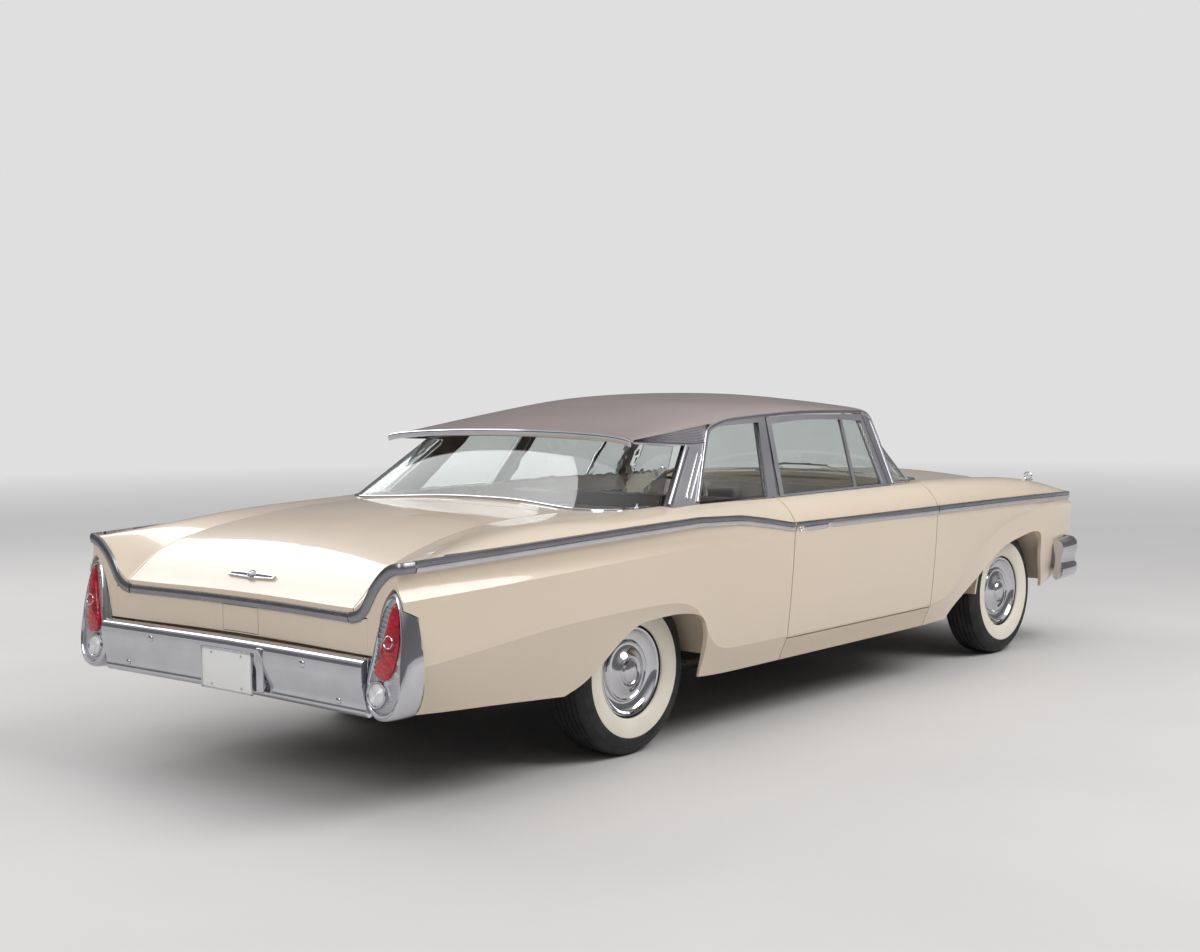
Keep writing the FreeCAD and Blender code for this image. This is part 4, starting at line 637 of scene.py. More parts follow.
class SedanLooks(bpy.types.PropertyGroup):
    body_colour: colour_setting("Body colour", "Enamel of the lower body", (0.72, 0.60, 0.47))
    roof_colour: colour_setting("Roof colour", "Enamel of the roof", (0.33, 0.255, 0.235))
    bright_colour: colour_setting("Bright metal", "Plated trim", (0.62, 0.62, 0.65))
    lens_colour: colour_setting("Lens colour", "Tail lamp lens", (0.48, 0.005, 0.02))
    seat_colour: colour_setting("Seat colour", "Vinyl of the bench seats", (0.13, 0.085, 0.065))
    whitewall_colour: colour_setting("White wall", "Band on the tyre side", (0.80, 0.75, 0.64))


class SedanSizes(bpy.types.PropertyGroup):
    moulding_height: length_setting("Belt moulding height", "Height of the side moulding", 0.043)
    moulding_proud: length_setting("Moulding proud", "How far the side moulding stands out", 0.007)
    tail_band: length_setting("Tail band height", "Height of the moulding across the tail", 0.038)
    lip: length_setting("Roof lip", "Height of the bright roof lip", 0.024)
    tread_ribs: IntProperty(name="Tread ribs", description="Ribs round the tyre tread", default=5, min=3,
                            max=9)


def sizes():
    return bpy.context.scene.sedan_sizes


class SEDAN_OT_finishes(bpy.types.Operator):
    """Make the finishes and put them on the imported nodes"""
    bl_idname = "sedan.finishes"
    bl_label = "Finishes"

    def execute(self, context):
        make_finishes(context.scene)
        for look, names in NODE_FINISHES.items():
            for name in names:
                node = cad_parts[name]
                node.data.materials.clear()
                node.data.materials.append(finish(look))
        return {"FINISHED"}


class SEDAN_OT_belt_mouldings(bpy.types.Operator):
    """Two-tone moulding along both sides, split at the door"""
    bl_idname = "sedan.belt_mouldings"
    bl_label = "Belt mouldings"

    def execute(self, context):
        shell = Shell(("fender_left", "fender_right", "door_left", "door_right", "quarter_panel_left",
                       "quarter_panel_right"))
        gap = 0.0025
        high, middle, low = 0.012, -0.010, 0.012 - sizes().moulding_height
        runs = (("front", -2.600, DOOR_FRONT - gap * 2.5, 40),
                ("door", DOOR_FRONT + gap, DOOR_REAR - gap, 30),
                ("rear", DOOR_REAR + gap * 3, 2.640, 50))
        for side, word in SIDES:
            for run, start, end, count in runs:
                places = spread(start, end, count)
                body = "door_" + word if run == "door" else MAIN_BODY
                self.strip(shell, side, places, high, middle, "satin", "belt_upper_%s_%s" % (run, word), body)
                self.strip(shell, side, places, middle, low, "light_satin", "belt_lower_%s_%s" % (run, word),
                           body)
        return {"FINISHED"}

    def strip(self, shell, side, places, high, low, look, name, body):
        """A band between two heights over the fin line."""
        proud = sizes().moulding_proud
        rows = []
        for y in places:
            fin = read_line(FIN_LINE, y)
            beside_handle = high < 0 and HANDLE_ROOM[0] < y < HANDLE_ROOM[1]
            edge = min(shell.side(y, fin, side) + proud, WIDEST) - (0.0045 if beside_handle else 0.0)
            top = shell.side(y, fin + high, side) - 0.004
            base = shell.side(y, fin + low, side) - 0.004
            middle = (high + low) / 2
            outer = ((top, high), (edge - abs(high) * 0.12, high - 0.001), (edge, middle),
                     (edge - abs(low) * 0.06, low + 0.001), (base, low))
            if high < 0:
                outer = ((edge - 0.003, high), (edge - 0.0005, high - 0.002), (edge, middle),
                         (edge - 0.002, low + 0.003), (base, low))
            row = [Vector((side * x, y, fin + rise)) for x, rise in outer]
            back = [Vector((side * (min(top, base) - 0.004), y, fin + rise)) for rise in (low, high)]
            rows.append(row + back)
        settle(ring_form(rows), name, look, body)


TAIL_BAND_REACH = 0.672
TAIL_BAND_HEIGHT = 0.709
LID_BAR_REACH = 0.138
LID_BAR_HEIGHT = 0.798
BOSS = ((-0.010, 0.021), (0.012, 0.021), (0.016, 0.018), (0.014, 0.014), (0.018, 0.006), (0.019, 0.0))
# Fin cap: its run round the fin tip down to the tail band, and the way it faces at each of these spots.
FIN_CAP_RUN = ((0.9585, 2.643, 0.9005), (0.9570, 2.675, 0.9000), (0.950, 2.703, 0.8990),
               (0.925, 2.712, 0.898), (0.887, 2.711, 0.884), (0.851, 2.710, 0.858), (0.815, 2.709, 0.823),
               (0.786, 2.708, 0.782), (0.760, 2.707, 0.746), (0.725, 2.7055, 0.720), (0.678, 2.703, 0.7085))
FIN_CAP_WAYS = ((1, 0, 0), (1, 0.1, 0), (0.7, 0.7, 0), (0.1, 1, 0)) + ((0, 1, 0),) * 7
FIN_CAP_HALF = 0.020


class SEDAN_OT_tail_trim(bpy.types.Operator):
    """Fin caps, tail moulding and the plain bar on the lid"""
    bl_idname = "sedan.tail_trim"
    bl_label = "Tail trim"

    def execute(self, context):
        shell = Shell(("quarter_panel_left", "quarter_panel_right", "trunk_lid", "tail_panel", "fuel_door"))
        self.tail_band(shell)
        for side, word in SIDES:
            self.fin_cap(side, word)
        self.lid_bar(shell)
        return {"FINISHED"}

    def tail_band(self, shell):
        half = sizes().tail_band / 2
        middle = TAIL_BAND_HEIGHT
        rows = []
        for x in spread(-TAIL_BAND_REACH, TAIL_BAND_REACH, 61):
            top = shell.tail(x, middle + half + 0.002)
            base = shell.tail(x, middle - half)
            face = max(top, base) + 0.006
            profile = ((top - 0.004, half), (face, half * 0.75), (face + 0.005, half * 0.1),
                       (face + 0.001, -half * 0.8), (base - 0.004, -half), (min(top, base) - 0.006, -half),
                       (min(top, base) - 0.006, half))
            row = [Vector((x, y, middle + rise)) for y, rise in profile]
            rows.append(row)
        settle(ring_form(rows), "tail_band", "satin", "trunk_lid")

    def fin_cap(self, side, word):
        path = smooth_run(FIN_CAP_RUN, 6)
        facing = smooth_run(FIN_CAP_WAYS, 6)
        stations = []
        for index, spot in enumerate(path):
            ahead = heading(path, index)
            out = facing[index].normalized()
            up = ahead.normalized().cross(out).normalized()
            out = up.cross(ahead.normalized()).normalized()
            if up.z < 0 and index == 0:
                up = -up
            stations.append((self.flip(spot, side), self.flip(out, side), self.flip(up, side)))
        half = FIN_CAP_HALF
        profile = ((-0.012, -half), (0.001, -half), (0.005, -half * 0.6), (0.008, 0.0), (0.005, half * 0.7),
                   (0.0, half), (-0.012, half))
        settle(swept(stations, profile), "fin_cap_" + word, "satin")

    def flip(self, place, side):
        return Vector((side * place[0], place[1], place[2]))

    def lid_bar(self, shell):
        """A bar with a dark inlay and a round boss."""
        reach, z = LID_BAR_REACH, LID_BAR_HEIGHT
        middle = shell.tail(0, z)
        slope = (shell.tail(0, z - 0.02) - shell.tail(0, z + 0.02)) / 0.04
        bow = (middle - (shell.tail(reach, z) + shell.tail(-reach, z)) / 2) / reach ** 2
        out = Vector((0, 1, slope)).normalized()
        up = Vector((0, -slope, 1)).normalized()
        parts = []
        for start, end, shape in ((-1.0, 1.0, "bar"), (-0.92, -0.20, "inlay"), (0.20, 0.92, "inlay")):
            rows = []
            for share in spread(start, end, 25):
                half = 0.0155 - 0.0065 * abs(share)
                if shape == "bar":
                    profile = ((-0.012, half), (0.007, half), (0.010, half * 0.85), (0.010, -half * 0.85),
                               (0.007, -half), (-0.012, -half))
                else:
                    profile = ((0.0085, half * 0.45), (0.0108, half * 0.45), (0.0108, -half * 0.45),
                               (0.0085, -half * 0.45))
                origin = Vector((share * reach, middle - bow * (share * reach) ** 2, z))
                row = [origin + out * deep + up * rise for deep, rise in profile]
                rows.append(row)
            parts.append(ring_form(rows))
        boss = lathe(BOSS, Vector((0, middle, z)), out, 40)
        settle(joined([parts[0], boss]), "lid_bar", "chrome", "trunk_lid")
        settle(joined(parts[1:]), "lid_bar_inlay", "dark", "trunk_lid")


# Trim lines of the upper body, as (along the car, height), and roof edges, as (across, along, height).
DRIP_RAIL = ((-0.648, 1.010), (-0.664, 1.150), (-0.676, 1.290), (-0.672, 1.338), (-0.640, 1.360),
             (-0.560, 1.367), (-0.100, 1.374), (0.250, 1.364), (0.500, 1.352), (0.610, 1.334),
             (0.674, 1.314), (0.716, 1.276), (0.945, 1.014))
PILLAR_BEAD = ((1.138, 1.012), (1.062, 1.078), (0.985, 1.146), (0.905, 1.216), (0.872, 1.244))
LOCK_SEAL = ((0.352, 1.010), (0.216, 1.340))
WEDGE_TOP = ((0.655, 1.335), (0.900, 1.312), (1.210, 1.283))
WEDGE_FOOT = ((0.735, 1.258), (0.840, 1.256), (1.206, 1.277))
RIB_START = Vector((0.812, 1.202))
RIB_END = Vector((0.990, 1.040))
RIB_HALF = 0.012
ROOF_REAR = ((0.0, 1.182), (0.350, 1.188), (0.600, 1.204), (0.745, 1.226))
ROOF_LIP_REACH = 0.742
BACKLIGHT_FOOT = ((0.0, 1.374, 1.026), (0.250, 1.386, 1.023), (0.560, 1.450, 1.010), (0.700, 1.448, 1.006),
                  (0.790, 1.395, 1.005), (0.816, 1.290, 1.005), (0.812, 1.180, 1.005))
WINDSHIELD_FOOT = ((0.0, -1.122, 1.028), (0.300, -1.116, 1.026), (0.600, -1.079, 1.015),
                   (0.795, -0.989, 1.008), (0.816, -0.800, 1.008), (0.812, -0.668, 1.008))


def both_ways(table):
    """A run over the right half of a table and back over its mirror."""
    return [(-x, y, z) for x, y, z in reversed(table[1:])] + list(table)


def side_stations(run, side):
    """Stations on the leaning side plane along a run of (along, height)."""
    path = smooth_run([(side * side_x(z), y, z) for y, z in run], 6)
    out = Vector((side, 0, LEAN)).normalized()
    stations = []
    for index, spot in enumerate(path):
        ahead = heading(path, index)
        stations.append((spot, out, ahead.normalized().cross(out).normalized()))
    return stations


class SEDAN_OT_upper_trim(bpy.types.Operator):
    """Drip rails, pillar trim, roof lip and window mouldings"""
    bl_idname = "sedan.upper_trim"
    bl_label = "Upper trim"

    def execute(self, context):
        for side, word in SIDES:
            self.ribbon(side, DRIP_RAIL, 0.016, 0.009, "drip_rail_" + word, "chrome")
            self.ribbon(side, PILLAR_BEAD, 0.028, 0.010, "pillar_bead_" + word, "chrome", 5)
            self.ribbon(side, LOCK_SEAL, 0.007, 0.001, "lock_seal_" + word, "dark")
            self.wedge(side, word)
            self.rib(side, word)
            self.belt_line(side, word)
        self.roof_lip()
        for name, table in (("backlight_moulding", BACKLIGHT_FOOT), ("windshield_moulding", WINDSHIELD_FOOT)):
            piece = tube(smooth_run(both_ways(table), 6), 0.008)
            settle(piece, name, "chrome")
        return {"FINISHED"}

    def ribbon(self, side, run, width, proud, name, look, rounds=2):
        """A half-round strip on the side plane."""
        profile = [(-0.004, -width / 2)]
        for step in range(rounds * 2 + 1):
            turn = math.pi * (step / (rounds * 2) - 0.5)
            profile.append((proud * math.cos(turn) ** 0.6, width / 2 * math.sin(turn)))
        profile.append((-0.004, width / 2))
        settle(swept(side_stations(run, side), profile), name, look)

    def wedge(self, side, word):
        """The ribbed bright panel over the pillar."""
        out = Vector((side, 0, LEAN)).normalized()
        ribs = 6
        rows = []
        for share in spread(0.0, 1.0, 33):
            y = WEDGE_TOP[0][0] + share * (WEDGE_TOP[-1][0] - WEDGE_TOP[0][0])
            high = read_line(WEDGE_TOP, y)
            foot = max(read_line(WEDGE_FOOT, y), 1.335 - (y - 0.655) * 0.96)
            foot = min(foot, high - 0.004)
            row = []
            for step in range(ribs * 4 + 1):
                z = high + (foot - high) * step / (ribs * 4)
                lift = 0.0035 + 0.0016 * math.cos(math.tau * step / 4)
                row.append(Vector((side * side_x(z), y, z)) + out * lift)
            row += [Vector((side * side_x(z), y, z)) - out * 0.004 for z in (foot, high)]
            rows.append(row)
        settle(ring_form(rows), "pillar_wedge_" + word, "brushed")

    def rib(self, side, word):
        """A pressed oblong loop on the rear pillar."""
        along = (RIB_END - RIB_START).normalized()
        across = Vector((-along.y, along.x))
        loop = []
        for centre, start in ((RIB_END, -0.5), (RIB_START, 0.5)):
            for step in range(9):
                turn = math.pi * (start + step / 8)
                spot = centre + (along * math.cos(turn) + across * math.sin(turn)) * RIB_HALF
                loop.append(Vector((side * (side_x(spot.y) + 0.001), spot.x, spot.y)))
        settle(tube(loop, 0.005, closed=True), "pillar_rib_" + word, "light_satin")

    def belt_line(self, side, word):
        """The bright line under the side windows, split where the door opens."""
        shell = Shell(("door_" + word, "quarter_panel_" + word))
        for run, start, end, body in (("door", -0.590, 0.395, "door_" + word),
                                      ("rear", 0.412, 0.945, MAIN_BODY)):
            path = [Vector((side * 0.890, y, shell.top(side * 0.890, y) + 0.002))
                    for y in spread(start, end, 13)]
            settle(tube(path, 0.005), "belt_line_%s_%s" % (run, word), "chrome", body)

    def roof_lip(self):
        """The bright edge round the back of the roof."""
        shell = Shell(("roof_and_pillars",))
        rows = []
        for x in spread(-ROOF_LIP_REACH, ROOF_LIP_REACH, 61):
            y = read_line(ROOF_REAR, abs(x))
            top = shell.top(x, y - 0.006)
            profile = ((-0.012, 0.003), (0.002, 0.004), (0.008, 0.000), (0.009, -0.012),
                       (0.006, -sizes().lip), (-0.004, -sizes().lip - 0.002), (-0.006, -0.002))
            row = [Vector((x, y + reach, top + rise)) for reach, rise in profile]
            rows.append(row)
        settle(ring_form(rows), "roof_lip", "chrome")


# Wheel cover, rim and tyre as (reach from the wheel's middle plane, radius).
COVER = ((0.058, 0.1910), (0.064, 0.1900), (0.072, 0.1880), (0.0765, 0.1820), (0.0745, 0.1740),
         (0.0660, 0.1680), (0.0610, 0.1640), (0.0540, 0.1500), (0.0505, 0.1360), (0.0500, 0.1300),
         (0.0555, 0.1260), (0.0575, 0.1200), (0.0530, 0.1140), (0.0525, 0.1080), (0.0560, 0.0960),
         (0.0640, 0.0800), (0.0720, 0.0700), (0.0755, 0.0630), (0.0740, 0.0570), (0.0700, 0.0520),
         (0.0715, 0.0480), (0.0790, 0.0420), (0.0840, 0.0300), (0.0865, 0.0150), (0.0872, 0.0))
RIM = ((0.0560, 0.1890), (0.0600, 0.1910), (0.0400, 0.1800), (-0.0600, 0.1780), (-0.0740, 0.1890),
       (-0.0780, 0.1910), (-0.0780, 0.1850), (-0.0620, 0.1720), (0.0100, 0.1700), (0.0140, 0.1300),
       (0.0000, 0.1200), (-0.0060, 0.0760), (0.0060, 0.0700), (0.0060, 0.0))
SIDEWALL = ((0.0700, 0.1895), (0.0830, 0.1950), (0.0910, 0.2080), (0.0970, 0.2300), (0.0995, 0.2500),
            (0.0995, 0.2700), (0.0985, 0.2760), (0.0992, 0.2790), (0.0970, 0.2900), (0.0930, 0.3050),
            (0.0945, 0.3080), (0.0880, 0.3200), (0.0800, 0.3310), (0.0720, 0.3385), (0.0670, 0.3405))
WHITE_BAND = ((0.0780, 0.1925), (0.0850, 0.1935), (0.0925, 0.2060), (0.0985, 0.2280), (0.1005, 0.2440),
              (0.1008, 0.2600), (0.1004, 0.2690), (0.0990, 0.2705), (0.0950, 0.2705), (0.0930, 0.2440),
              (0.0900, 0.2200), (0.0820, 0.1990), (0.0760, 0.1940), (0.0780, 0.1925))
TREAD_HALF = 0.066
GROOVE_HALF = 0.0025
GROOVE_DEPTH = 0.0075
ZIGZAG = 0.0022
ROUND_STEPS = 96
WHEELS = (("front_left", 1, FRONT_AXLE), ("front_right", -1, FRONT_AXLE), ("rear_left", 1, REAR_AXLE),
          ("rear_right", -1, REAR_AXLE))


def crown(reach):
    """Radius of the tread across its width."""
    return 0.3448 - 0.9 * reach * reach


class SEDAN_OT_wheels(bpy.types.Operator):
    """Wheel covers, rims, ribbed tyres and white walls"""
    bl_idname = "sedan.wheels"
    bl_label = "Wheels"

    def execute(self, context):
        for name, side, axle in WHEELS:
            centre = Vector((side * HALF_TRACK, axle, WHEEL_HEIGHT))
            axis = (side, 0, 0)
            body = "wheel_" + name
            cover = lathe(COVER, centre, axis, ROUND_STEPS)
            settle(cover, "cover_" + name, "chrome", body, slot="wheel_metal", angle=0.5)
            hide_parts("wheel_" + name)
            settle(lathe(RIM, centre, axis, ROUND_STEPS // 2), "rim_" + name, "black", body)
            self.tyre(name, centre, axis, body)
            band = lathe(WHITE_BAND, centre, axis, ROUND_STEPS)
            settle(band, "white_wall_" + name, "white_wall", body)
            self.valve(name, side, centre, body)
        return {"FINISHED"}

    def tyre(self, name, centre, axis, body):
        profile = list(SIDEWALL)
        ribs = sizes().tread_ribs
        width = TREAD_HALF * 2 / ribs
        for rib in reversed(range(ribs)):
            start = -TREAD_HALF + rib * width + GROOVE_HALF
            end = start + width - GROOVE_HALF * 2
            middle = (start + end) / 2
            profile += [(end, crown(end) - GROOVE_DEPTH), (end, crown(end)), (middle, crown(middle)),
                        (start, crown(start)), (start, crown(start) - GROOVE_DEPTH)]
        profile += [(-reach, radius) for reach, radius in reversed(SIDEWALL)]
        piece = lathe(profile, centre, axis, ROUND_STEPS)
        # The grooves run in a zigzag round the tread.
        tread_foot = crown(TREAD_HALF) - GROOVE_DEPTH * 1.2
        tread_edge = TREAD_HALF - GROOVE_HALF * 1.5
        for vertex in piece.data.vertices:
            arm = vertex.co - centre
            if math.hypot(arm.y, arm.z) > tread_foot and abs(arm.x) < tread_edge:
                step = round(math.atan2(arm.z, arm.y) / math.tau * ROUND_STEPS)
                vertex.co.x += ZIGZAG * (1 if step % 2 else -1)
        settle(piece, "tyre_body_" + name, "rubber", body, angle=0.5)
        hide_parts("tyre_" + name)

    def valve(self, name, side, centre, body):
        foot = centre + Vector((side * 0.070, 0.0, -0.176))
        stem = tube([foot, foot + Vector((side * 0.012, 0, 0.004)), foot + Vector((side * 0.020, 0, 0.012))],
                    0.0035)
        settle(stem, "valve_" + name, "dark", body)


# Tail lamp pod seen from behind, as (across, height), round its middle.
POD_OUTLINE = ((0.905, 0.822), (0.862, 0.770), (0.826, 0.650), (0.800, 0.520), (0.808, 0.425), (0.850, 0.378),
               (0.900, 0.370), (0.958, 0.396), (0.992, 0.470), (0.996, 0.580), (0.975, 0.700), (0.945, 0.790))
POD_MIDDLE = (0.900, 0.560)
POD_TOP = 0.814
POD_RAKE = 0.130
LENS_PLACE = 2.694
RED_OUTLINE = ((0.920, 0.780), (0.902, 0.738), (0.885, 0.680), (0.868, 0.625), (0.856, 0.580), (0.850, 0.545),
               (0.860, 0.525), (0.886, 0.517), (0.914, 0.519), (0.938, 0.548), (0.951, 0.600), (0.956, 0.660),
               (0.950, 0.720), (0.937, 0.765))
RED_MIDDLE = (0.908, 0.630)
BEZEL_STEPS = ((0.0165, 0.004), (0.0170, 0.0095), (0.0195, 0.0108), (0.0250, 0.0105), (0.0290, 0.0070),
               (0.0290, -0.010), (0.0240, -0.012), (0.0180, -0.004), (0.0165, 0.004))
BED_STEPS = ((0.0248, -0.020), (0.0248, 0.001), (0.0500, 0.0030), (0.5, 0.0040), (0.8, 0.0042), (1.0, 0.0042))
TICK_LINE = ((0.832, 0.545), (0.838, 0.600), (0.850, 0.655), (0.868, 0.710), (0.890, 0.760))
BACK_LAMP = (0.868, 0.463)
BACK_LAMP_RADIUS = 0.0398
LAMP_WAY = Vector((0, 1, 0.13))
REFLECTOR = (0.916, 0.648)


def pod_face(x, z, reach, side):
    """A place on the raked face of a pod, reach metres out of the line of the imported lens."""
    return Vector((side * x, LENS_PLACE + reach + POD_RAKE * (POD_TOP - z), z))


def inset_loop(outline, middle, inset, per_span=8):
    """An outline drawn in by metres, or from 0.2 on by a share of its reach, as (across, height)."""
    loop = []
    for spot in smooth_run([(x, 0, z) for x, z in outline], per_span, closed=True):
        away = Vector((spot.x - middle[0], spot.z - middle[1]))
        near = max(1 - inset / away.length, 0.0) if inset < 0.2 else 1 - inset
        loop.append((middle[0] + away.x * near, middle[1] + away.y * near))
    return loop


def pod_rings(outline, middle, steps, side, per_span=8):
    """Rings over an outline on the raked face of a pod, with steps of (inset, reach)."""
    return [[pod_face(x, z, reach, side) for x, z in inset_loop(outline, middle, inset, per_span)]
            for inset, reach in steps]


class SEDAN_OT_tail_lamps(bpy.types.Operator):
    """Bezels, beds and lenses of the tail lamp pods"""
    bl_idname = "sedan.tail_lamps"
    bl_label = "Tail lamps"

    def execute(self, context):
        for side, word in SIDES:
            bezel = ring_form(pod_rings(POD_OUTLINE, POD_MIDDLE, BEZEL_STEPS, side), False)
            settle(bezel, "pod_bezel_" + word, "chrome")
            bed = ring_form(pod_rings(POD_OUTLINE, POD_MIDDLE, BED_STEPS, side))
            bed = settle(bed, "pod_bed_" + word, "lamp_bed")
            if side == 1:
                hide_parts("tail_lamps")
            self.red(side, word)
            self.ticks(side, word)
            self.back_lamp(side, word)
            self.reflector(side, word)
        return {"FINISHED"}

    def red(self, side, word):
        steps = [(0.0, 0.000), (0.0, 0.0100), (0.004, 0.0150)]
        steps += [(0.2 + share * 0.8, 0.0175 + 0.0055 * math.sin(share * math.pi / 2))
                  for share in spread(0, 1, 7)]
        rings = pod_rings(RED_OUTLINE, RED_MIDDLE, steps, side, 6)
        settle(ring_form(rings), "red_lens_" + word, "lens_red", angle=0.8)

    def ticks(self, side, word):
        path = smooth_run([(x, 0, z) for x, z in TICK_LINE], 3)
        bars = []
        for spot in path:
            start = pod_face(spot.x - 0.009, spot.z, 0.0055, side)
            bars.append(tube([start, pod_face(spot.x + 0.009, spot.z + 0.001, 0.0055, side)], 0.0030))
        settle(joined(bars), "lens_ticks_" + word, "light_satin", slot="lamp_clear")

    def back_lamp(self, side, word):
        x, z = BACK_LAMP
        centre = pod_face(x, z, 0.0015, side)
        ring = ((0.0, 0.0400), (0.0130, 0.0400), (0.0165, 0.0425), (0.0165, 0.0470), (0.0120, 0.0495),
                (0.0, 0.0495), (0.0, 0.0400))
        settle(lathe(ring, centre, LAMP_WAY, 56), "back_lamp_ring_" + word, "chrome")
        lens = [(0.0, BACK_LAMP_RADIUS), (0.010, BACK_LAMP_RADIUS)]
        for step in range(1, 10):
            radius = BACK_LAMP_RADIUS * (1 - step / 10)
            rise = 0.0115 + 0.0050 * (1 - (radius / BACK_LAMP_RADIUS) ** 2)
            lens += [(rise + 0.0010, radius + 0.0012), (rise - 0.0006, radius)]
        lens.append((0.017, 0.0))
        settle(lathe(lens, centre, LAMP_WAY, 56), "back_lamp_lens_" + word, "milk_lens")

    def reflector(self, side, word):
        x, z = REFLECTOR
        centre = pod_face(x, z, 0.018, side)
        ring = ((0.0, 0.0190), (0.0060, 0.0195), (0.0075, 0.0215), (0.0060, 0.0235), (0.0, 0.0240),
                (0.0, 0.0190))
        settle(lathe(ring, centre, LAMP_WAY, 40), "reflector_ring_" + word, "chrome")
        disc = ((0.0, 0.0192), (0.0045, 0.0190), (0.0065, 0.0120), (0.0072, 0.0))
        settle(lathe(disc, centre, LAMP_WAY, 40), "reflector_" + word, "lens_red")


# Bumper sections as (behind the plan line, height), and half plans as (across, along the car).
REAR_PLAN = ((0.0, 2.742), (0.300, 2.748), (0.560, 2.756), (0.800, 2.763))
REAR_SECTION = ((0.046, 0.580), (0.022, 0.577), (0.004, 0.562), (0.0005, 0.530), (0.003, 0.492),
                (0.014, 0.444), (0.022, 0.410), (0.020, 0.386), (0.032, 0.372))
REAR_INSIDE = ((0.085, 0.384), (0.090, 0.480), (0.085, 0.572))
FRONT_PLAN = ((0.0, -2.7625), (0.350, -2.7565), (0.650, -2.734), (0.830, -2.694), (0.925, -2.634),
              (0.965, -2.560), (0.980, -2.450), (0.984, -2.335))
FRONT_SECTION = ((0.060, 0.600), (0.024, 0.592), (0.003, 0.566), (0.0, 0.530), (0.012, 0.488), (0.012, 0.458),
                 (0.001, 0.424), (0.010, 0.384), (0.045, 0.362))
FRONT_INSIDE = ((0.062, 0.380), (0.046, 0.480), (0.064, 0.588))
ARM_PLACE = 0.43
ARM_RUNS = ((2.560, 2.680), (-2.720, -2.560))
# Rings of the pod shell as (inset, place along the car, rake).
POD_RINGS = ((0.010, 2.640, 0.0), (0.001, 2.6455, 0.0), (0.0, 2.655, 0.020), (0.0, 2.672, 0.090),
             (0.003, 2.690, 0.120), (0.0085, 2.6995, 0.130), (0.0150, 2.7035, 0.130),
             (0.0200, 2.7015, 0.130), (0.0270, 2.694, 0.130), (0.0280, 2.660, 0.0), (0.0280, 2.641, 0.0),
             (0.010, 2.640, 0.0))


class SEDAN_OT_bumpers(bpy.types.Operator):
    """Rounded bars, lamp pods and arms of both bumpers"""
    bl_idname = "sedan.bumpers"
    bl_label = "Bumpers"

    def execute(self, context):
        rear = self.bar(REAR_PLAN, REAR_SECTION, REAR_INSIDE, 1, "rear_bar")
        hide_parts("rear_bumper")
        front = self.bar(FRONT_PLAN, FRONT_SECTION, FRONT_INSIDE, -1, "front_bar")
        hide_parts("front_bumper")
        for side, word in SIDES:
            rings = [[Vector((side * x, place + rake * (POD_TOP - z), z))
                      for x, z in inset_loop(POD_OUTLINE, POD_MIDDLE, inset)]
                     for inset, place, rake in POD_RINGS]
            settle(ring_form(rings, False), "pod_shell_" + word, "chrome", angle=0.9)
        arms = []
        for side in (1, -1):
            for start, end in ARM_RUNS:
                arms.append(cross_block(side * ARM_PLACE, 0.030, (start, 0.430), (end, 0.500), 0.006))
        settle(joined(arms), "bumper_arms", "black")
        return {"FINISHED"}

    def bar(self, plan, section, back, way, name):
        half = smooth_run([(x, y, 0) for x, y in plan], 8)
        path = [Vector((-spot.x, spot.y, 0)) for spot in reversed(half[1:])] + half
        face = [(spot.x, spot.y) for spot in smooth_run([(a, b, 0) for a, b in section], 5)]
        stations = []
        for index, spot in enumerate(path):
            ahead = heading(path, index)
            inward = Vector((ahead.y, -ahead.x, 0)).normalized() * way
            stations.append((spot, inward, Vector((0, 0, 1))))
        piece = swept(stations, face + list(back))
        return settle(piece, name, "chrome", angle=0.9)


HANDLE_RUN = (0.128, 0.345)
HANDLE_HEIGHT = 0.867
HANDLE_DEPTH = 0.0055
# Outer half of the grip as shares of its (depth, half height).
HANDLE_SECTION = ((0, 1), (0.5, 0.97), (0.9, 0.6), (1, 0), (0.9, -0.6), (0.5, -0.97), (0, -1))


class SEDAN_OT_handles(bpy.types.Operator):
    """Door handles with their push buttons"""
    bl_idname = "sedan.handles"
    bl_label = "Door handles"

    def execute(self, context):
        for side, word in SIDES:
            rows = []
            start, end = HANDLE_RUN
            for share in spread(0, 1, 25):
                y = start + (end - start) * share
                ease = math.sqrt(max(1 - (2 * share - 1) ** 6, 0.0))
                half = 0.005 + 0.0100 * ease
                spots = [(HANDLE_DEPTH * (1 - ease * deep), half * tall) for deep, tall in HANDLE_SECTION]
                spots += [(0.014, -half), (0.014, half)]
                rows.append([Vector((side * (WIDEST - inset), y, HANDLE_HEIGHT + rise))
                             for inset, rise in spots])
            grip = ring_form(rows)
            button = lathe(((-0.006, 0.0115), (0.0015, 0.0115), (0.003, 0.0100), (0.0015, 0.0080),
                            (0.0035, 0.0060), (0.004, 0.0)),
                           Vector((side * (WIDEST - 0.0045), 0.367, HANDLE_HEIGHT)), (side, 0, 0), 28)
            settle(joined([grip, button]), "door_handle_" + word, "chrome", "door_" + word, angle=0.9)
        return {"FINISHED"}


# Bumper bolt caps as (across, height, radius), and the plain plate on the rear bumper.
BOLTS = ((0.469, 0.530, 0.015), (-0.469, 0.530, 0.015), (0.650, 0.416, 0.013), (-0.650, 0.416, 0.013))
PLATE_MIDDLE = (-0.016, 0.456)
PLATE_SIZE = (0.305, 0.152)


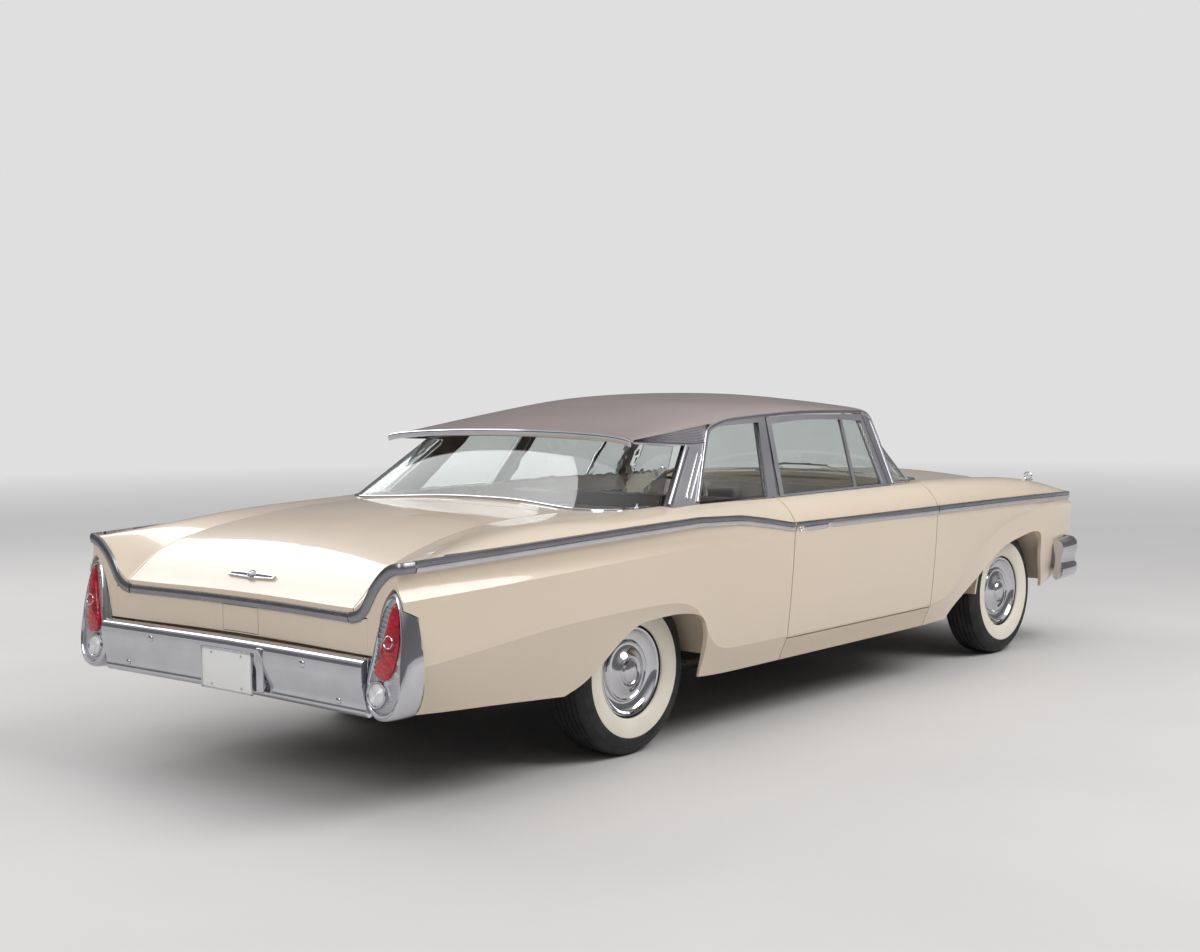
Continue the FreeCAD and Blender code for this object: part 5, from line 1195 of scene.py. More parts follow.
class SEDAN_OT_rear_bumper_fittings(bpy.types.Operator):
    """Bolt caps, the blank plate and its bracket"""
    bl_idname = "sedan.rear_bumper_fittings"
    bl_label = "Rear bumper fittings"

    def execute(self, context):
        shell = Shell(("rear_bumper",))
        caps = []
        heights = sorted((height, behind) for behind, height in REAR_SECTION)
        for x, z, radius in BOLTS:
            y = read_line(REAR_PLAN, abs(x)) - read_line(heights, z) - 0.0015
            caps.append(dome(Vector((x, y, z)), radius, 0.007, (0, 1, 0), 28))
        settle(joined(caps), "bumper_bolt_caps", "chrome")
        self.plate(shell)
        return {"FINISHED"}

    def plate(self, shell):
        x, z = PLATE_MIDDLE
        width, height = PLATE_SIZE
        y = max(shell.tail(x + dx * width / 2, z + dz * height / 2) for dx in (-1, 0, 1)
                for dz in (-1, 0, 1)) + 0.004
        left, right = x - width / 2, x + width / 2
        base, top = z - height / 2, z + height / 2
        plate = rounded_block((left, y, base), (right, y + 0.0018, top), 0.0008)
        settle(plate, "blank_plate", "plate_white")
        bars = []
        for low, high in (((left - 0.004, base - 0.004), (right + 0.004, base + 0.003)),
                          ((left - 0.004, top - 0.003), (right + 0.004, top + 0.004)),
                          ((left - 0.004, base - 0.004), (left + 0.003, top + 0.004)),
                          ((right - 0.003, base - 0.004), (right + 0.004, top + 0.004))):
            bars.append(rounded_block((low[0], y - 0.003, low[1]), (high[0], y + 0.0045, high[1]), 0.0015))
        for corner in (-1, 1):
            for rise in (-1, 1):
                spot = Vector((x + corner * width * 0.3, y + 0.0015, z + rise * height * 0.40))
                bars.append(lathe(((0, 0.005), (0.003, 0.0045), (0.004, 0.0)), spot, (0, 1, 0), 16))
        settle(joined(bars), "plate_frame", "chrome")
        # The bracket stands beside the plate on the car's right side.
        post = rounded_block((-0.232, y - 0.012, 0.392), (-0.196, y + 0.004, 0.560), 0.006)
        settle(post, "plate_bracket", "chrome")


# Seats as (low corner, high corner) of each pad, and the lean of a back in metres over its height.
FRONT_CUSHION = ((-0.748, -0.290, 0.500), (0.748, 0.262, 0.668))
FRONT_BACK = ((-0.748, 0.196, 0.520), (0.748, 0.345, 0.985))
REAR_CUSHION = ((-0.628, 0.490, 0.500), (0.628, 0.985, 0.668))
REAR_BACK = ((-0.628, 0.918, 0.600), (0.628, 1.068, 0.985))
# Pleats lie between the two plain ends of a pad, each a share of its breadth.
PLEAT_EDGE_SHARE = 0.14
PLEATS = 22
PLEAT_DEPTH = 0.010
SEAM_SHARE = 0.08
PAD_STEPS = 72
PAD_COLUMNS = 150
PAD_SQUARENESS = 0.30
END_ROUND = 0.045
HELD_END = 0.06
PADS = (("front_cushion_pad", FRONT_CUSHION, 0.0, False), ("front_back_pad", FRONT_BACK, 0.086, True),
        ("rear_cushion_pad", REAR_CUSHION, 0.0, False), ("rear_back_pad", REAR_BACK, 0.090, True))
WELT_RADIUS = 0.0045
WELT_INSET = 0.020
COVER_FRAMES = 10


def pleat_place(share):
    """Place between the plain ends of a pad, counted in pleats."""
    return (share - PLEAT_EDGE_SHARE) / (1 - 2 * PLEAT_EDGE_SHARE) * PLEATS


class SEDAN_OT_seats(bpy.types.Operator):
    """Pleated bench seats with soft pads"""
    bl_idname = "sedan.seats"
    bl_label = "Seats"

    def execute(self, context):
        for name, (low, high), lean, upright in PADS:
            self.pad(name, Vector(low), Vector(high), lean, upright)
        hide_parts("front_seat")
        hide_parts("rear_seat")
        self.piping()
        self.frames()
        return {"FINISHED"}

    def pad(self, name, low, high, lean, upright):
        """A crowned pad with pleats from front to back, or from foot to top."""
        middle = (low + high) / 2
        half = (high - low) / 2
        rows = []
        for column in range(PAD_COLUMNS + 1):
            share = column / PAD_COLUMNS
            x = low.x + (high.x - low.x) * share
            end = min(share, 1 - share) * (high.x - low.x)
            close = min(end / END_ROUND, 1.0)
            shrink = math.sqrt(max(1 - (1 - close) ** 2, 0.0))
            place = pleat_place(share)
            pleated = 0 <= place <= PLEATS
            phase = place % 1 if pleated else 0.5
            puff = abs(math.sin(math.pi * phase)) ** 0.5
            row = []
            for step in range(PAD_STEPS):
                turn = math.tau * step / PAD_STEPS
                across, rise = math.cos(turn), math.sin(turn)
                flat = math.copysign(abs(across) ** PAD_SQUARENESS, across)
                tall = math.copysign(abs(rise) ** PAD_SQUARENESS, rise)
                reach = flat * half.y * (0.93 + 0.07 * shrink)
                height = tall * half.z * (0.86 + 0.14 * shrink)
                y, z = middle.y + reach * max(shrink, 0.02), middle.z + height * max(shrink, 0.02)
                crowned = max(-across if upright else rise, 0.0)
                if crowned > 0.25 and pleated:
                    sink = PLEAT_DEPTH * (1 - puff) * min((crowned - 0.25) * 4, 1.0)
                    if upright:
                        y += sink
                    else:
                        z -= sink
                if upright:
                    y += lean * (z - low.z) / (high.z - low.z) - 0.012 * crowned * (1 - (2 * share - 1) ** 2)
                else:
                    z += 0.006 * crowned * (1 - (reach / half.y) ** 2)
                    z -= 0.008 * (1 - shrink)
                row.append(Vector((x, y, z)))
            rows.append(row)
        piece = ring_form(rows)
        held = []
        for vertex in piece.data.vertices:
            place = pleat_place((vertex.co.x - low.x) / (high.x - low.x))
            near_seam = 0 <= place <= PLEATS and abs(place - round(place)) < SEAM_SHARE
            under = vertex.co.y > middle.y + lean * 0.5 if upright else vertex.co.z < middle.z
            near_end = min(vertex.co.x - low.x, high.x - vertex.co.x) < HELD_END
            if near_seam or under or near_end:
                held.append(vertex.index)
        self.soften(piece, held)
        settle(piece, name, "vinyl", angle=0.9)
        return piece

    def soften(self, piece, held):
        """Let the cover swell between its seams as cloth over foam."""
        only(piece)
        group = piece.vertex_groups.new(name="held")
        group.add(held, 1.0, "REPLACE")
        cloth = piece.modifiers.new("Cover", "CLOTH")
        cloth.settings.quality = 5
        cloth.settings.mass = 0.4
        cloth.settings.tension_stiffness = 60
        cloth.settings.compression_stiffness = 60
        cloth.settings.shear_stiffness = 30
        cloth.settings.bending_stiffness = 4
        cloth.settings.use_pressure = True
        cloth.settings.uniform_pressure_force = 1.6
        cloth.settings.vertex_group_mass = "held"
        cloth.point_cache.frame_start = 1
        cloth.point_cache.frame_end = COVER_FRAMES
        scene = bpy.context.scene
        for frame_number in range(1, COVER_FRAMES + 1):
            scene.frame_set(frame_number)
        bpy.ops.object.modifier_apply(modifier=cloth.name)
        scene.frame_set(1)
        piece.vertex_groups.clear()

    def piping(self):
        """Welts round the edges of the cushions and backs."""
        for name, (low, high), lean, upright in PADS:
            near, far = low[0] + WELT_INSET, high[0] - WELT_INSET
            if upright:
                y = low[1] + 0.010
                foot, top = (y + lean * 0.1, low[2] + 0.06), (y + lean * 0.93, high[2] - 0.030)
            else:
                z = high[2] - 0.012
                foot, top = (high[1] - 0.05, z), (low[1] + 0.018, z - 0.006)
            corners = [Vector(spot) for spot in ((near, *foot), (near, *top), (far, *top), (far, *foot))]
            path = []
            for start, end in zip(corners, corners[1:]):
                path += [start.lerp(end, step / 12) for step in range(12)]
            path.append(corners[-1])
            settle(tube(path, WELT_RADIUS), name.replace("pad", "welt"), "pale_vinyl")

    def frames(self):
        """The bases that carry the benches."""
        bars = []
        for x in (-0.52, 0.52):
            for z in (0.372, 0.470):
                bars.append(cross_block(x, 0.020, (-0.26, z - 0.014), (0.20, z + 0.014), 0.004))
            for y in (-0.24, 0.16):
                bars.append(cross_block(x, 0.015, (y - 0.018, 0.350), (y + 0.018, 0.490), 0.004))
        for y in (-0.20, 0.16):
            bars.append(cross_block(0.0, 0.70, (y - 0.016, 0.478), (y + 0.016, 0.506), 0.004))
        settle(joined(bars), "front_seat_frame", "black")
        for word, near, far, foot in (("right", -0.62, -0.17, 0.346), ("left", 0.17, 0.62, 0.346),
                                      ("middle", -0.17, 0.17, 0.480)):
            base = rounded_block((near, 0.515, foot), (far, 0.950, 0.510), 0.010)
            settle(base, "rear_seat_base_" + word, "vinyl_plain")


# The trim panel of a door, and the instruments as (across, radius).
PANEL_FOOT = 0.455
PANEL_TOP = 0.915
PANEL_FRONT = -0.815
PANEL_REAR = 0.345
DASH_FACE = -0.800
DIALS = ((0.290, 0.046), (0.470, 0.046), (0.380, 0.030))
DIAL_HEIGHT = 0.832
DIAL_TICKS = 11
PEDALS = ((0.300, 0.070), (0.180, 0.045))
HORN_RADIUS = 0.118
WHEEL_CENTRE = Vector((0.380, -0.470, 0.850))
COLUMN_FOOT = Vector((0.380, -1.0155, 0.6075))


class SEDAN_OT_cabin(bpy.types.Operator):
    """Door panels, instrument panel trim, steering wheel trim and mirror"""
    bl_idname = "sedan.cabin"
    bl_label = "Cabin"

    def execute(self, context):
        for side, word in SIDES:
            self.door_panel(side, word)
        self.dash()
        self.wheel_trim()
        self.mirror()
        self.pedals()
        return {"FINISHED"}

    def door_panel(self, side, word):
        """Trim panel, arm rest, window crank and latch handle on a door."""
        door = "door_" + word
        inside = Shell((door,))

        def wall(y, z):
            hit = inside.tree.ray_cast(Vector((side * 0.5, y, z)), Vector((side, 0, 0)))[0]
            return abs(hit.x) if hit else 0.900

        rows = []
        for z in spread(PANEL_FOOT, PANEL_TOP, 15):
            swell = 0.004 * math.sin(math.pi * (z - PANEL_FOOT) / (PANEL_TOP - PANEL_FOOT))
            faces = [Vector((side * (wall(y, z) - 0.006 - swell), y, z))
                     for y in spread(PANEL_FRONT, PANEL_REAR, 30)]
            backs = [Vector((side * (wall(-0.3, z) - 0.0004), y, z))
                     for y in spread(PANEL_REAR, PANEL_FRONT, 4)]
            rows.append(faces + backs)
        settle(ring_form(rows), "door_panel_" + word, "vinyl_plain", door)
        x = side * (wall(-0.2, 0.70) - 0.012)
        near, far = sorted((x, x - side * 0.060))
        rest = rounded_block((near, -0.10, 0.640), (far, 0.24, 0.700), 0.020, 4)
        settle(rest, "arm_rest_" + word, "pale_vinyl", door, angle=0.9)
        strips = []
        for z in (0.590, 0.780):
            low, high = sorted((side * (wall(-0.2, z) - 0.013), side * (wall(-0.2, z) - 0.007)))
            strips.append(rounded_block((low, -0.80, z - 0.007), (high, 0.335, z + 0.007), 0.002))
        settle(joined(strips), "door_panel_strips_" + word, "chrome", door)
        hub = Vector((side * (wall(-0.40, 0.72) - 0.006), -0.42, 0.72))
        boss = lathe(((0, 0.022), (0.010, 0.020), (0.016, 0.012), (0.018, 0.0)), hub, (-side, 0, 0), 24)
        arm = tube([hub + Vector((-side * 0.014, 0, 0)), hub + Vector((-side * 0.020, 0.050, -0.030)),
                    hub + Vector((-side * 0.022, 0.095, -0.060))], 0.006)
        knob = lathe(((0, 0.0), (0.002, 0.010), (0.018, 0.012), (0.030, 0.010), (0.034, 0.0)),
                     hub + Vector((-side * 0.020, 0.095, -0.060)), (-side, 0, 0), 20)
        latch = wall(-0.6, 0.76)
        lever = tube([Vector((side * (latch - inset), y, z)) for inset, y, z in
                      ((0.010, -0.62, 0.76), (0.032, -0.60, 0.757), (0.034, -0.53, 0.745))], 0.007)
        settle(joined([boss, arm, knob, lever]), "door_crank_" + word, "chrome", door)

    def dash(self):
        y = DASH_FACE
        parts = [cross_block(0.0, 0.790, (y - 0.002, foot), (y + 0.004, top), 0.002)
                 for foot, top in ((0.796, 0.808), (0.866, 0.874))]
        for x in (-0.02, 0.10):
            parts.append(lathe(((0, 0.014), (0.016, 0.012), (0.020, 0.008), (0.020, 0.0)),
                               Vector((x, y, 0.836)), (0, 1, 0), 24))
        parts.append(rounded_block((0.005, y - 0.002, 0.818), (0.075, y + 0.005, 0.856), 0.003))
        settle(joined(parts), "dash_brightwork", "chrome")
        hood = rounded_block((0.190, -0.872, 0.872), (0.570, -0.762, 0.936), 0.024, 5)
        settle(hood, "instrument_hood", "dash", angle=0.9)
        dials = []
        glasses = []
        for x, radius in DIALS:
            ring = ((-0.006, radius), (0.006, radius), (0.008, radius - 0.004), (0.001, radius - 0.007),
                    (-0.006, radius - 0.007), (-0.006, radius))
            face = ((0.0, radius - 0.0072), (0.0006, radius * 0.5), (0.0008, 0.0))
            dials.append(lathe(ring, Vector((x, DASH_FACE + 0.003, DIAL_HEIGHT)), (0, 1, 0), 36))
            glasses.append(lathe(face, Vector((x, DASH_FACE + 0.0025, DIAL_HEIGHT)), (0, 1, 0), 36))
            centre = Vector((x, DASH_FACE + 0.0038, DIAL_HEIGHT))
            for step in range(DIAL_TICKS):
                turn = math.radians(-30 + step * 24)
                way = Vector((math.cos(turn), 0, math.sin(turn)))
                dials.append(tube([centre + way * (radius * share) for share in (0.62, 0.78)], 0.0008))
        settle(joined(dials), "dial_rings", "chrome")
        settle(joined(glasses), "dial_faces", "dark", slot="dash")
        lid = rounded_block((-0.620, y - 0.002, 0.782), (-0.230, y + 0.003, 0.794), 0.002)
        settle(lid, "glove_box_edge", "chrome")

    def wheel_trim(self):
        """The horn ring and cap, in the plane of the wheel."""
        axis = (WHEEL_CENTRE - COLUMN_FOOT).normalized()
        right = Vector((1, 0, 0))
        up = axis.cross(right).normalized() * -1
        centre = WHEEL_CENTRE + axis * 0.004
        ring = [centre + (right * math.cos(turn) + up * math.sin(turn)) * HORN_RADIUS
                for turn in spread(-math.pi, 0, 25)]
        ends = [tube([centre + right * 0.030 * way, centre + right * HORN_RADIUS * way], 0.006)
                for way in (-1, 1)]
        cap = lathe(((0.0, 0.040), (0.008, 0.038), (0.014, 0.026), (0.017, 0.012), (0.018, 0.0)), centre,
                    axis, 40)
        settle(joined([tube(ring, 0.0055)] + ends + [cap]), "horn_ring", "chrome", "steering_wheel")

    def mirror(self):
        stem = tube([Vector((0, -0.700, 1.372)), Vector((0, -0.690, 1.345)), Vector((0, -0.668, 1.325))],
                    0.006)
        case = cross_block(0.0, 0.115, (-0.672, 1.296), (-0.654, 1.344), 0.008, 4)
        settle(joined([stem, case]), "inside_mirror", "chrome")

    def pedals(self):
        parts = []
        for x, width in PEDALS:
            parts.append(cross_block(x, width / 2, (-0.930, 0.450), (-0.915, 0.520), 0.004))
            parts.append(tube([Vector((x, -0.925, 0.500)), Vector((x, -0.960, 0.600)),
                               Vector((x, -1.000, 0.660))], 0.008))
        settle(joined(parts), "pedals", "dark", slot="frame_steel")


# Front lamps as (across, height), and the sights that stand on the front fenders.
FRONT_LAMPS = ((0.745, 0.704), (0.560, 0.704))
FRONT_LAMP_Y = -2.595
LAMP_RING = ((-0.004, 0.0620), (0.003, 0.0620), (0.007, 0.0660), (0.0085, 0.0730), (0.006, 0.0800),
             (-0.004, 0.0835), (-0.012, 0.0840), (-0.012, 0.0800), (-0.004, 0.0700), (-0.004, 0.0620))
BOWL_RADIUS = 0.0618
LENS_RADIUS = 0.0616
GRILLE_EDGE = ((-0.840, 0.630), (0.840, 0.630), (0.842, 0.780), (0.640, 0.798), (-0.640, 0.798),
               (-0.842, 0.780))
GRILLE_UPRIGHTS = 65
VALANCE_HALF = 0.856
# Section of the pan under the grille as (along the car, height).
VALANCE = ((-2.560, 0.632), (-2.566, 0.600), (-2.556, 0.540), (-2.530, 0.470), (-2.524, 0.472),
           (-2.548, 0.540), (-2.558, 0.600), (-2.552, 0.632))
SIGHT_RADIUS = 0.021
SIGHT_RISE = 0.026
WIPER_FOOT = (0.300, -1.150)
WIPER_REACH = 0.260
SIGHT_PLACE = (0.850, -2.160)
TURN_LAMP = (0.700, 0.440)
FRONT_BOLTS = ((0.300, 0.540), (0.860, 0.540))


class SEDAN_OT_front_trim(bpy.types.Operator):
    """Headlamps, grille bars, fender sights, wipers and bumper fittings at the front"""
    bl_idname = "sedan.front_trim"
    bl_label = "Front trim"

    def execute(self, context):
        self.lamps()
        self.grille()
        self.valance()
        self.sights()
        self.wipers()
        self.bumper()
        return {"FINISHED"}

    def lamps(self):
        rings, bowls, lenses = [], [], []
        axis = (0, -1, 0)
        for x, z in FRONT_LAMPS:
            for side in (1, -1):
                centre = Vector((side * x, FRONT_LAMP_Y, z))
                rings.append(lathe(LAMP_RING, centre, axis, 56))
                bowl = [(-0.002, BOWL_RADIUS)]
                bowl += [(-0.044 + 0.042 * (radius / BOWL_RADIUS) ** 2, radius)
                         for radius in spread(0.056, 0.006, 8)]
                bowls.append(lathe(bowl + [(-0.044, 0.0)], centre, axis, 48))
                lens = [(0.0, LENS_RADIUS)]
                lens += [(0.002 + 0.008 * (1 - (radius / LENS_RADIUS) ** 2), radius)
                         for radius in spread(0.058, 0.004, 9)]
                lenses.append(lathe(lens + [(0.010, 0.0)], centre, axis, 48))
        settle(joined(rings), "headlamp_rings", "chrome")
        settle(joined(bowls), "headlamp_bowls", "chrome")
        lens = settle(joined(lenses), "headlamp_lenses", "fluted_lens")
        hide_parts("headlamps")

    def grille(self):
        bars = []
        y = FRONT_LAMP_Y + 0.028
        for x in spread(-0.448, 0.448, GRILLE_UPRIGHTS):
            bars.append(cross_block(x, 0.0015, (y, 0.634), (y + 0.020, 0.790), 0.0006, 1))
        settle(joined(bars), "grille_uprights", "light_satin")
        edge = [Vector((x, FRONT_LAMP_Y + 0.010, z)) for x, z in GRILLE_EDGE]
        settle(tube(edge, 0.007, closed=True), "grille_surround", "chrome")

    def valance(self):
        """The pan between the grille and the bumper."""
        rows = []
        for x in spread(-VALANCE_HALF, VALANCE_HALF, 49):
            bow = 0.020 * (x / VALANCE_HALF) ** 2
            rows.append([Vector((x, y + bow, z)) for y, z in VALANCE])
        settle(ring_form(rows), "front_valance", "body")

    def sights(self):
        """A ring on a blade on each front fender."""
        for side, word in SIDES:
            x, y = SIGHT_PLACE
            foot = Shell(("fender_" + word,)).top(side * x, y)
            middle = foot + SIGHT_RISE
            ring = [Vector((side * x + SIGHT_RADIUS * math.cos(turn), y,
                            middle + SIGHT_RADIUS * math.sin(turn))) for turn in spread(0, math.tau, 33)]
            blade = cross_block(side * x, 0.003, (y - 0.055, foot - 0.004), (y + 0.060, foot + 0.006), 0.002)
            parts = [tube(ring[:-1], 0.0045, closed=True), blade]
            for way in (0, 1):
                turn = math.pi / 2 * way
                reach = Vector((math.cos(turn), 0, math.sin(turn))) * 0.020
                centre = Vector((side * x, y, middle))
                parts.append(tube([centre - reach, centre + reach], 0.0018))
            settle(joined(parts), "fender_sight_" + word, "chrome")

    def wipers(self):
        shell = Shell(("cowl_and_firewall", "windshield"))
        for side, word in SIDES:
            x, y = side * WIPER_FOOT[0], WIPER_FOOT[1]
            foot = Vector((x, y, shell.top(x, y) or 1.020))
            tip = Vector((x - side * WIPER_REACH, -1.098, 0))
            tip.z = (shell.top(tip.x, tip.y) or 1.040) + 0.012
            middle = (foot + tip) / 2 + Vector((0, 0, 0.018))
            boss = lathe(((-0.004, 0.014), (0.010, 0.013), (0.016, 0.008), (0.018, 0.0)), foot, (0, 0, 1), 20)
            arm = tube([foot + Vector((0, 0, 0.010)), middle, tip], 0.0035)
            blade = tube([tip + Vector((side * 0.150, -0.012, -0.004)), tip,
                          tip - Vector((side * 0.130, -0.002, -0.002))], 0.0045)
            settle(joined([boss, arm]), "wiper_arm_" + word, "chrome")
            settle(blade, "wiper_blade_" + word, "dark")

    def bumper(self):
        shell = Shell(("front_bumper",))
        rims, lenses, caps = [], [], []
        for side in (1, -1):
            x, z = TURN_LAMP
            y = shell.nose(side * x, z) - 0.003
            rims.append(cross_block(side * x, 0.062, (y, z - 0.028), (y + 0.020, z + 0.028), 0.008))
            lenses.append(cross_block(side * x, 0.054, (y - 0.004, z - 0.020), (y + 0.010, z + 0.020), 0.006))
            for x, z in FRONT_BOLTS:
                place = Vector((side * x, shell.nose(side * x, z), z))
                place.y += 0.0015
                caps.append(dome(place, 0.016, 0.006, (0, -1, 0), 24))
        settle(joined(rims), "turn_lamp_rims", "chrome")
        settle(joined(lenses), "turn_lamp_lenses", "milk_lens")
        settle(joined(caps), "front_bolt_caps", "chrome")


FAN_CENTRE = Vector((0, -1.955, 0.640))
FAN_BLADES = 4
# Half a blade as (reach from the fan's middle, breadth).
BLADE = ((0.030, 0.018), (0.100, 0.040), (0.190, 0.052))
LEADS = 4


class SEDAN_OT_engine_dress(bpy.types.Operator):
    """Air cleaner, rocker covers, fan, radiator and battery"""
    bl_idname = "sedan.engine_dress"
    bl_label = "Engine dress"

    def execute(self, context):
        cleaner = lathe(((0.0, 0.0), (0.0, 0.150), (0.006, 0.158), (0.022, 0.160), (0.028, 0.152),
                         (0.032, 0.060), (0.034, 0.0)), Vector((0, -1.560, 0.904)), (0, 0, 1), 56)
        settle(cleaner, "air_cleaner", "dark", slot="frame_steel")
        covers = [cross_block(side * 0.195, 0.062, (-1.830, 0.880), (-1.290, 0.922), 0.016, 4)
                  for side in (1, -1)]
        settle(joined(covers), "rocker_covers", "iron")
        wires = []
        for side in (1, -1):
            for step in range(LEADS):
                y = -1.75 + step * 0.125
                run = ((side * 0.06, -1.36, 0.905), (side * 0.14, y + 0.03, 0.926), (side * 0.272, y, 0.890),
                       (side * 0.284, y, 0.820))
                wires.append(tube(smooth_run(run, 6), 0.0045))
        cap = lathe(((0.0, 0.045), (0.016, 0.044), (0.026, 0.030), (0.026, 0.0)),
                    Vector((0.0, -1.335, 0.900)), (0, 0, 1), 28)
        settle(joined(wires + [cap]), "ignition_leads", "dark")
        core = cross_block(0.0, 0.300, (-2.085, 0.400), (-2.035, 0.860), 0.010)
        tank = cross_block(0.0, 0.280, (-2.100, 0.840), (-2.020, 0.900), 0.020, 4)
        cap = lathe(((0.0, 0.026), (0.010, 0.026), (0.014, 0.016), (0.014, 0.0)),
                    Vector((0.18, -2.06, 0.898)), (0, 0, 1), 24)
        settle(joined([core, tank, cap]), "radiator", "black")
        blades = [lathe(((0.0, 0.0), (0.0, 0.040), (0.020, 0.038), (0.024, 0.0)), Vector((0, -1.965, 0.640)),
                        (0, 1, 0), 28)]
        for step in range(FAN_BLADES):
            turn = math.tau * step / FAN_BLADES + 0.4
            way = Vector((math.cos(turn), 0, math.sin(turn)))
            side_way = Vector((-math.sin(turn), 0, math.cos(turn)))
            blade = rows_piece([[FAN_CENTRE + Vector((0, back * 0.020, 0)) + way * reach
                                 + side_way * breadth * back for back in (-0.5, 0.5)]
                                for reach, breadth in BLADE])
            only(blade)
            thick = blade.modifiers.new("Thick", "SOLIDIFY")
            thick.thickness = 0.003
            bpy.ops.object.modifier_apply(modifier=thick.name)
            blades.append(blade)
        settle(joined(blades), "cooling_fan", "light_satin", slot="cast")
        box = rounded_block((0.430, -1.480, 0.640), (0.590, -1.230, 0.830), 0.008)
        settle(box, "battery", "dark")
        posts = [lathe(((0.0, 0.010), (0.016, 0.009), (0.018, 0.0)), Vector((0.47, y, 0.828)), (0, 0, 1), 16)
                 for y in (-1.44, -1.27)]
        settle(joined(posts), "battery_posts", "steel")
        return {"FINISHED"}


CAMERA_PLACE = (-5.147, 6.520, 1.553)
CAMERA_YAW = 139.02
CAMERA_PITCH = -3.45
CAMERA_ROLL = -0.52
FOCAL_PIXELS = 1658.66
PHOTO_WIDTH = 1200.0
OPTICAL_CENTRE = 595.3
SENSOR = 36.0
BACKDROP = (0.74, 0.74, 0.74)


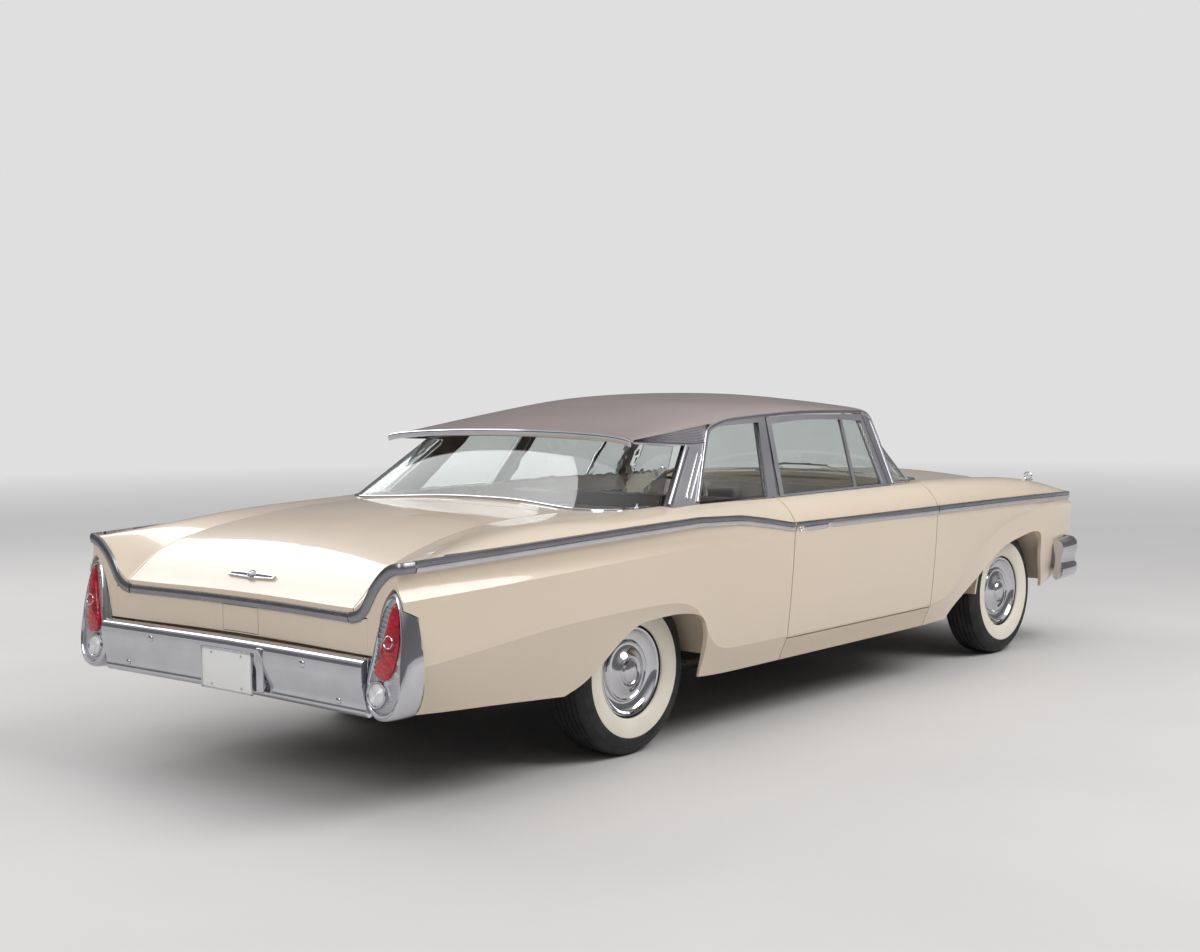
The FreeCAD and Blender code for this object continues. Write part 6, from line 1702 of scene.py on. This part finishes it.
class SEDAN_OT_stage(bpy.types.Operator):
    """Pale floor, soft studio light and the camera at the photograph's angle"""
    bl_idname = "sedan.stage"
    bl_label = "Stage"

    def execute(self, context):
        self.floor()
        self.lamps()
        self.world(context.scene)
        self.camera(context.scene)
        context.scene.view_settings.view_transform = "Standard"
        return {"FINISHED"}

    def floor(self):
        clear_selection()
        bpy.ops.mesh.primitive_circle_add(vertices=96, radius=60, fill_type="NGON", location=(0, 0, -0.001))
        floor = bpy.context.object
        bpy.ops.object.transform_apply(location=True)
        floor.name = "studio_floor"
        ground = Finish("studio_floor", (0.60, 0.59, 0.58), 0.0, 0.7)
        ground.vary((0.56, 0.55, 0.54), 0.8, 0.6)
        ground.grain(30, 0.04)
        # Far out the floor takes the tone of the backdrop.
        x, y = ground.axes()[:2]
        far = ground.math("SQRT", ground.math("ADD", ground.math("MULTIPLY", x, x),
                                              ground.math("MULTIPLY", y, y)))
        glow = ground.node("ShaderNodeEmission")
        glow.inputs[0].default_value = (*BACKDROP, 1)
        mixer = ground.node("ShaderNodeMixShader")
        ground.link(ground.spread(far, 6.0, 22.0), mixer.inputs[0])
        ground.link(ground.shader.outputs[0], mixer.inputs[1])
        ground.link(glow.outputs[0], mixer.inputs[2])
        ground.link(mixer.outputs[0], ground.tree.nodes["Material Output"].inputs["Surface"])
        floor.data.materials.append(ground.material)

    def lamps(self):
        places = (("key_lamp", (-6.5, -2.0, 7.5), (0, 0.3, 0.6), 6.0, 520),
                  ("rear_lamp", (-2.0, 9.0, 6.0), (0, 1.6, 0.7), 5.0, 200),
                  ("far_lamp", (7.5, 1.0, 6.0), (0, 0, 0.7), 6.0, 240))
        for name, place, target, width, power in places:
            clear_selection()
            bpy.ops.object.light_add(type="AREA", location=place)
            lamp = bpy.context.object
            lamp.name = name
            lamp.data.shape = "DISK"
            lamp.data.size = width
            lamp.data.energy = power
            way = Vector(target) - Vector(place)
            lamp.rotation_euler = way.to_track_quat("-Z", "Y").to_euler()

    def world(self, scene):
        """A plain backdrop to look at, and a softer room for light and reflections."""
        world = bpy.data.worlds.new("studio")
        scene.world = world
        world.use_nodes = True
        tree = world.node_tree
        back = tree.nodes["Background"]
        where = tree.nodes.new("ShaderNodeTexCoord")
        split = tree.nodes.new("ShaderNodeSeparateXYZ")
        room = tree.nodes.new("ShaderNodeValToRGB")
        stops = room.color_ramp.elements
        stops[0].position, stops[0].color = 0.0, (0.20, 0.20, 0.21, 1)
        stops[1].position, stops[1].color = 1.0, (0.95, 0.95, 0.97, 1)
        for position, level in ((0.30, 0.16), (0.60, 0.55)):
            stops.new(position).color = (level, level, level * 1.02, 1)
        path = tree.nodes.new("ShaderNodeLightPath")
        choice = tree.nodes.new("ShaderNodeMix")
        choice.data_type = "RGBA"
        choice.inputs[7].default_value = (*BACKDROP, 1)
        tree.links.new(where.outputs["Generated"], split.inputs[0])
        tree.links.new(split.outputs[2], room.inputs[0])
        tree.links.new(path.outputs["Is Camera Ray"], choice.inputs[0])
        tree.links.new(room.outputs[0], choice.inputs[6])
        tree.links.new(choice.outputs[2], back.inputs[0])
        back.inputs[1].default_value = 1.0

    def camera(self, scene):
        clear_selection()
        bpy.ops.object.camera_add(location=CAMERA_PLACE)
        camera = bpy.context.object
        yaw, pitch, roll = (math.radians(turn) for turn in (CAMERA_YAW, CAMERA_PITCH, CAMERA_ROLL))
        ahead = Vector((math.sin(yaw) * math.cos(pitch), math.cos(yaw) * math.cos(pitch), math.sin(pitch)))
        right = Vector((math.cos(yaw), -math.sin(yaw), 0))
        up = right.cross(ahead)
        across = math.cos(roll) * right + math.sin(roll) * up
        upright = -math.sin(roll) * right + math.cos(roll) * up
        turn = Matrix((across, upright, -ahead)).transposed()
        camera.rotation_mode = "QUATERNION"
        camera.rotation_quaternion = turn.to_quaternion()
        camera.data.sensor_width = SENSOR
        camera.data.lens = FOCAL_PIXELS * SENSOR / PHOTO_WIDTH
        camera.data.shift_x = (PHOTO_WIDTH / 2 - OPTICAL_CENTRE) / PHOTO_WIDTH
        camera.data.clip_start = 0.05
        camera.data.clip_end = 200
        scene.camera = camera


OPERATORS = (SEDAN_OT_finishes, SEDAN_OT_belt_mouldings, SEDAN_OT_tail_trim, SEDAN_OT_upper_trim,
             SEDAN_OT_wheels, SEDAN_OT_tail_lamps, SEDAN_OT_bumpers, SEDAN_OT_handles,
             SEDAN_OT_rear_bumper_fittings, SEDAN_OT_seats, SEDAN_OT_cabin, SEDAN_OT_front_trim,
             SEDAN_OT_engine_dress, SEDAN_OT_stage)


class SEDAN_PT_panel(bpy.types.Panel):
    bl_label = "Sedan"
    bl_idname = "SEDAN_PT_panel"
    bl_space_type = "VIEW_3D"
    bl_region_type = "UI"
    bl_category = "Sedan"

    def draw(self, context):
        for operator in OPERATORS:
            self.layout.operator(operator.bl_idname)


CLASSES = (SedanLooks, SedanSizes, *OPERATORS, SEDAN_PT_panel)


def register():
    for item in CLASSES:
        bpy.utils.register_class(item)
    bpy.types.Scene.sedan_looks = PointerProperty(type=SedanLooks)
    bpy.types.Scene.sedan_sizes = PointerProperty(type=SedanSizes)


def unregister():
    del bpy.types.Scene.sedan_sizes
    del bpy.types.Scene.sedan_looks
    for item in reversed(CLASSES):
        bpy.utils.unregister_class(item)


def main():
    clear_selection()
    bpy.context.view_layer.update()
    register()
    for operator in OPERATORS:
        group, name = operator.bl_idname.split(".")
        getattr(getattr(bpy.ops, group), name)()


if __name__ == "__main__":
    main()
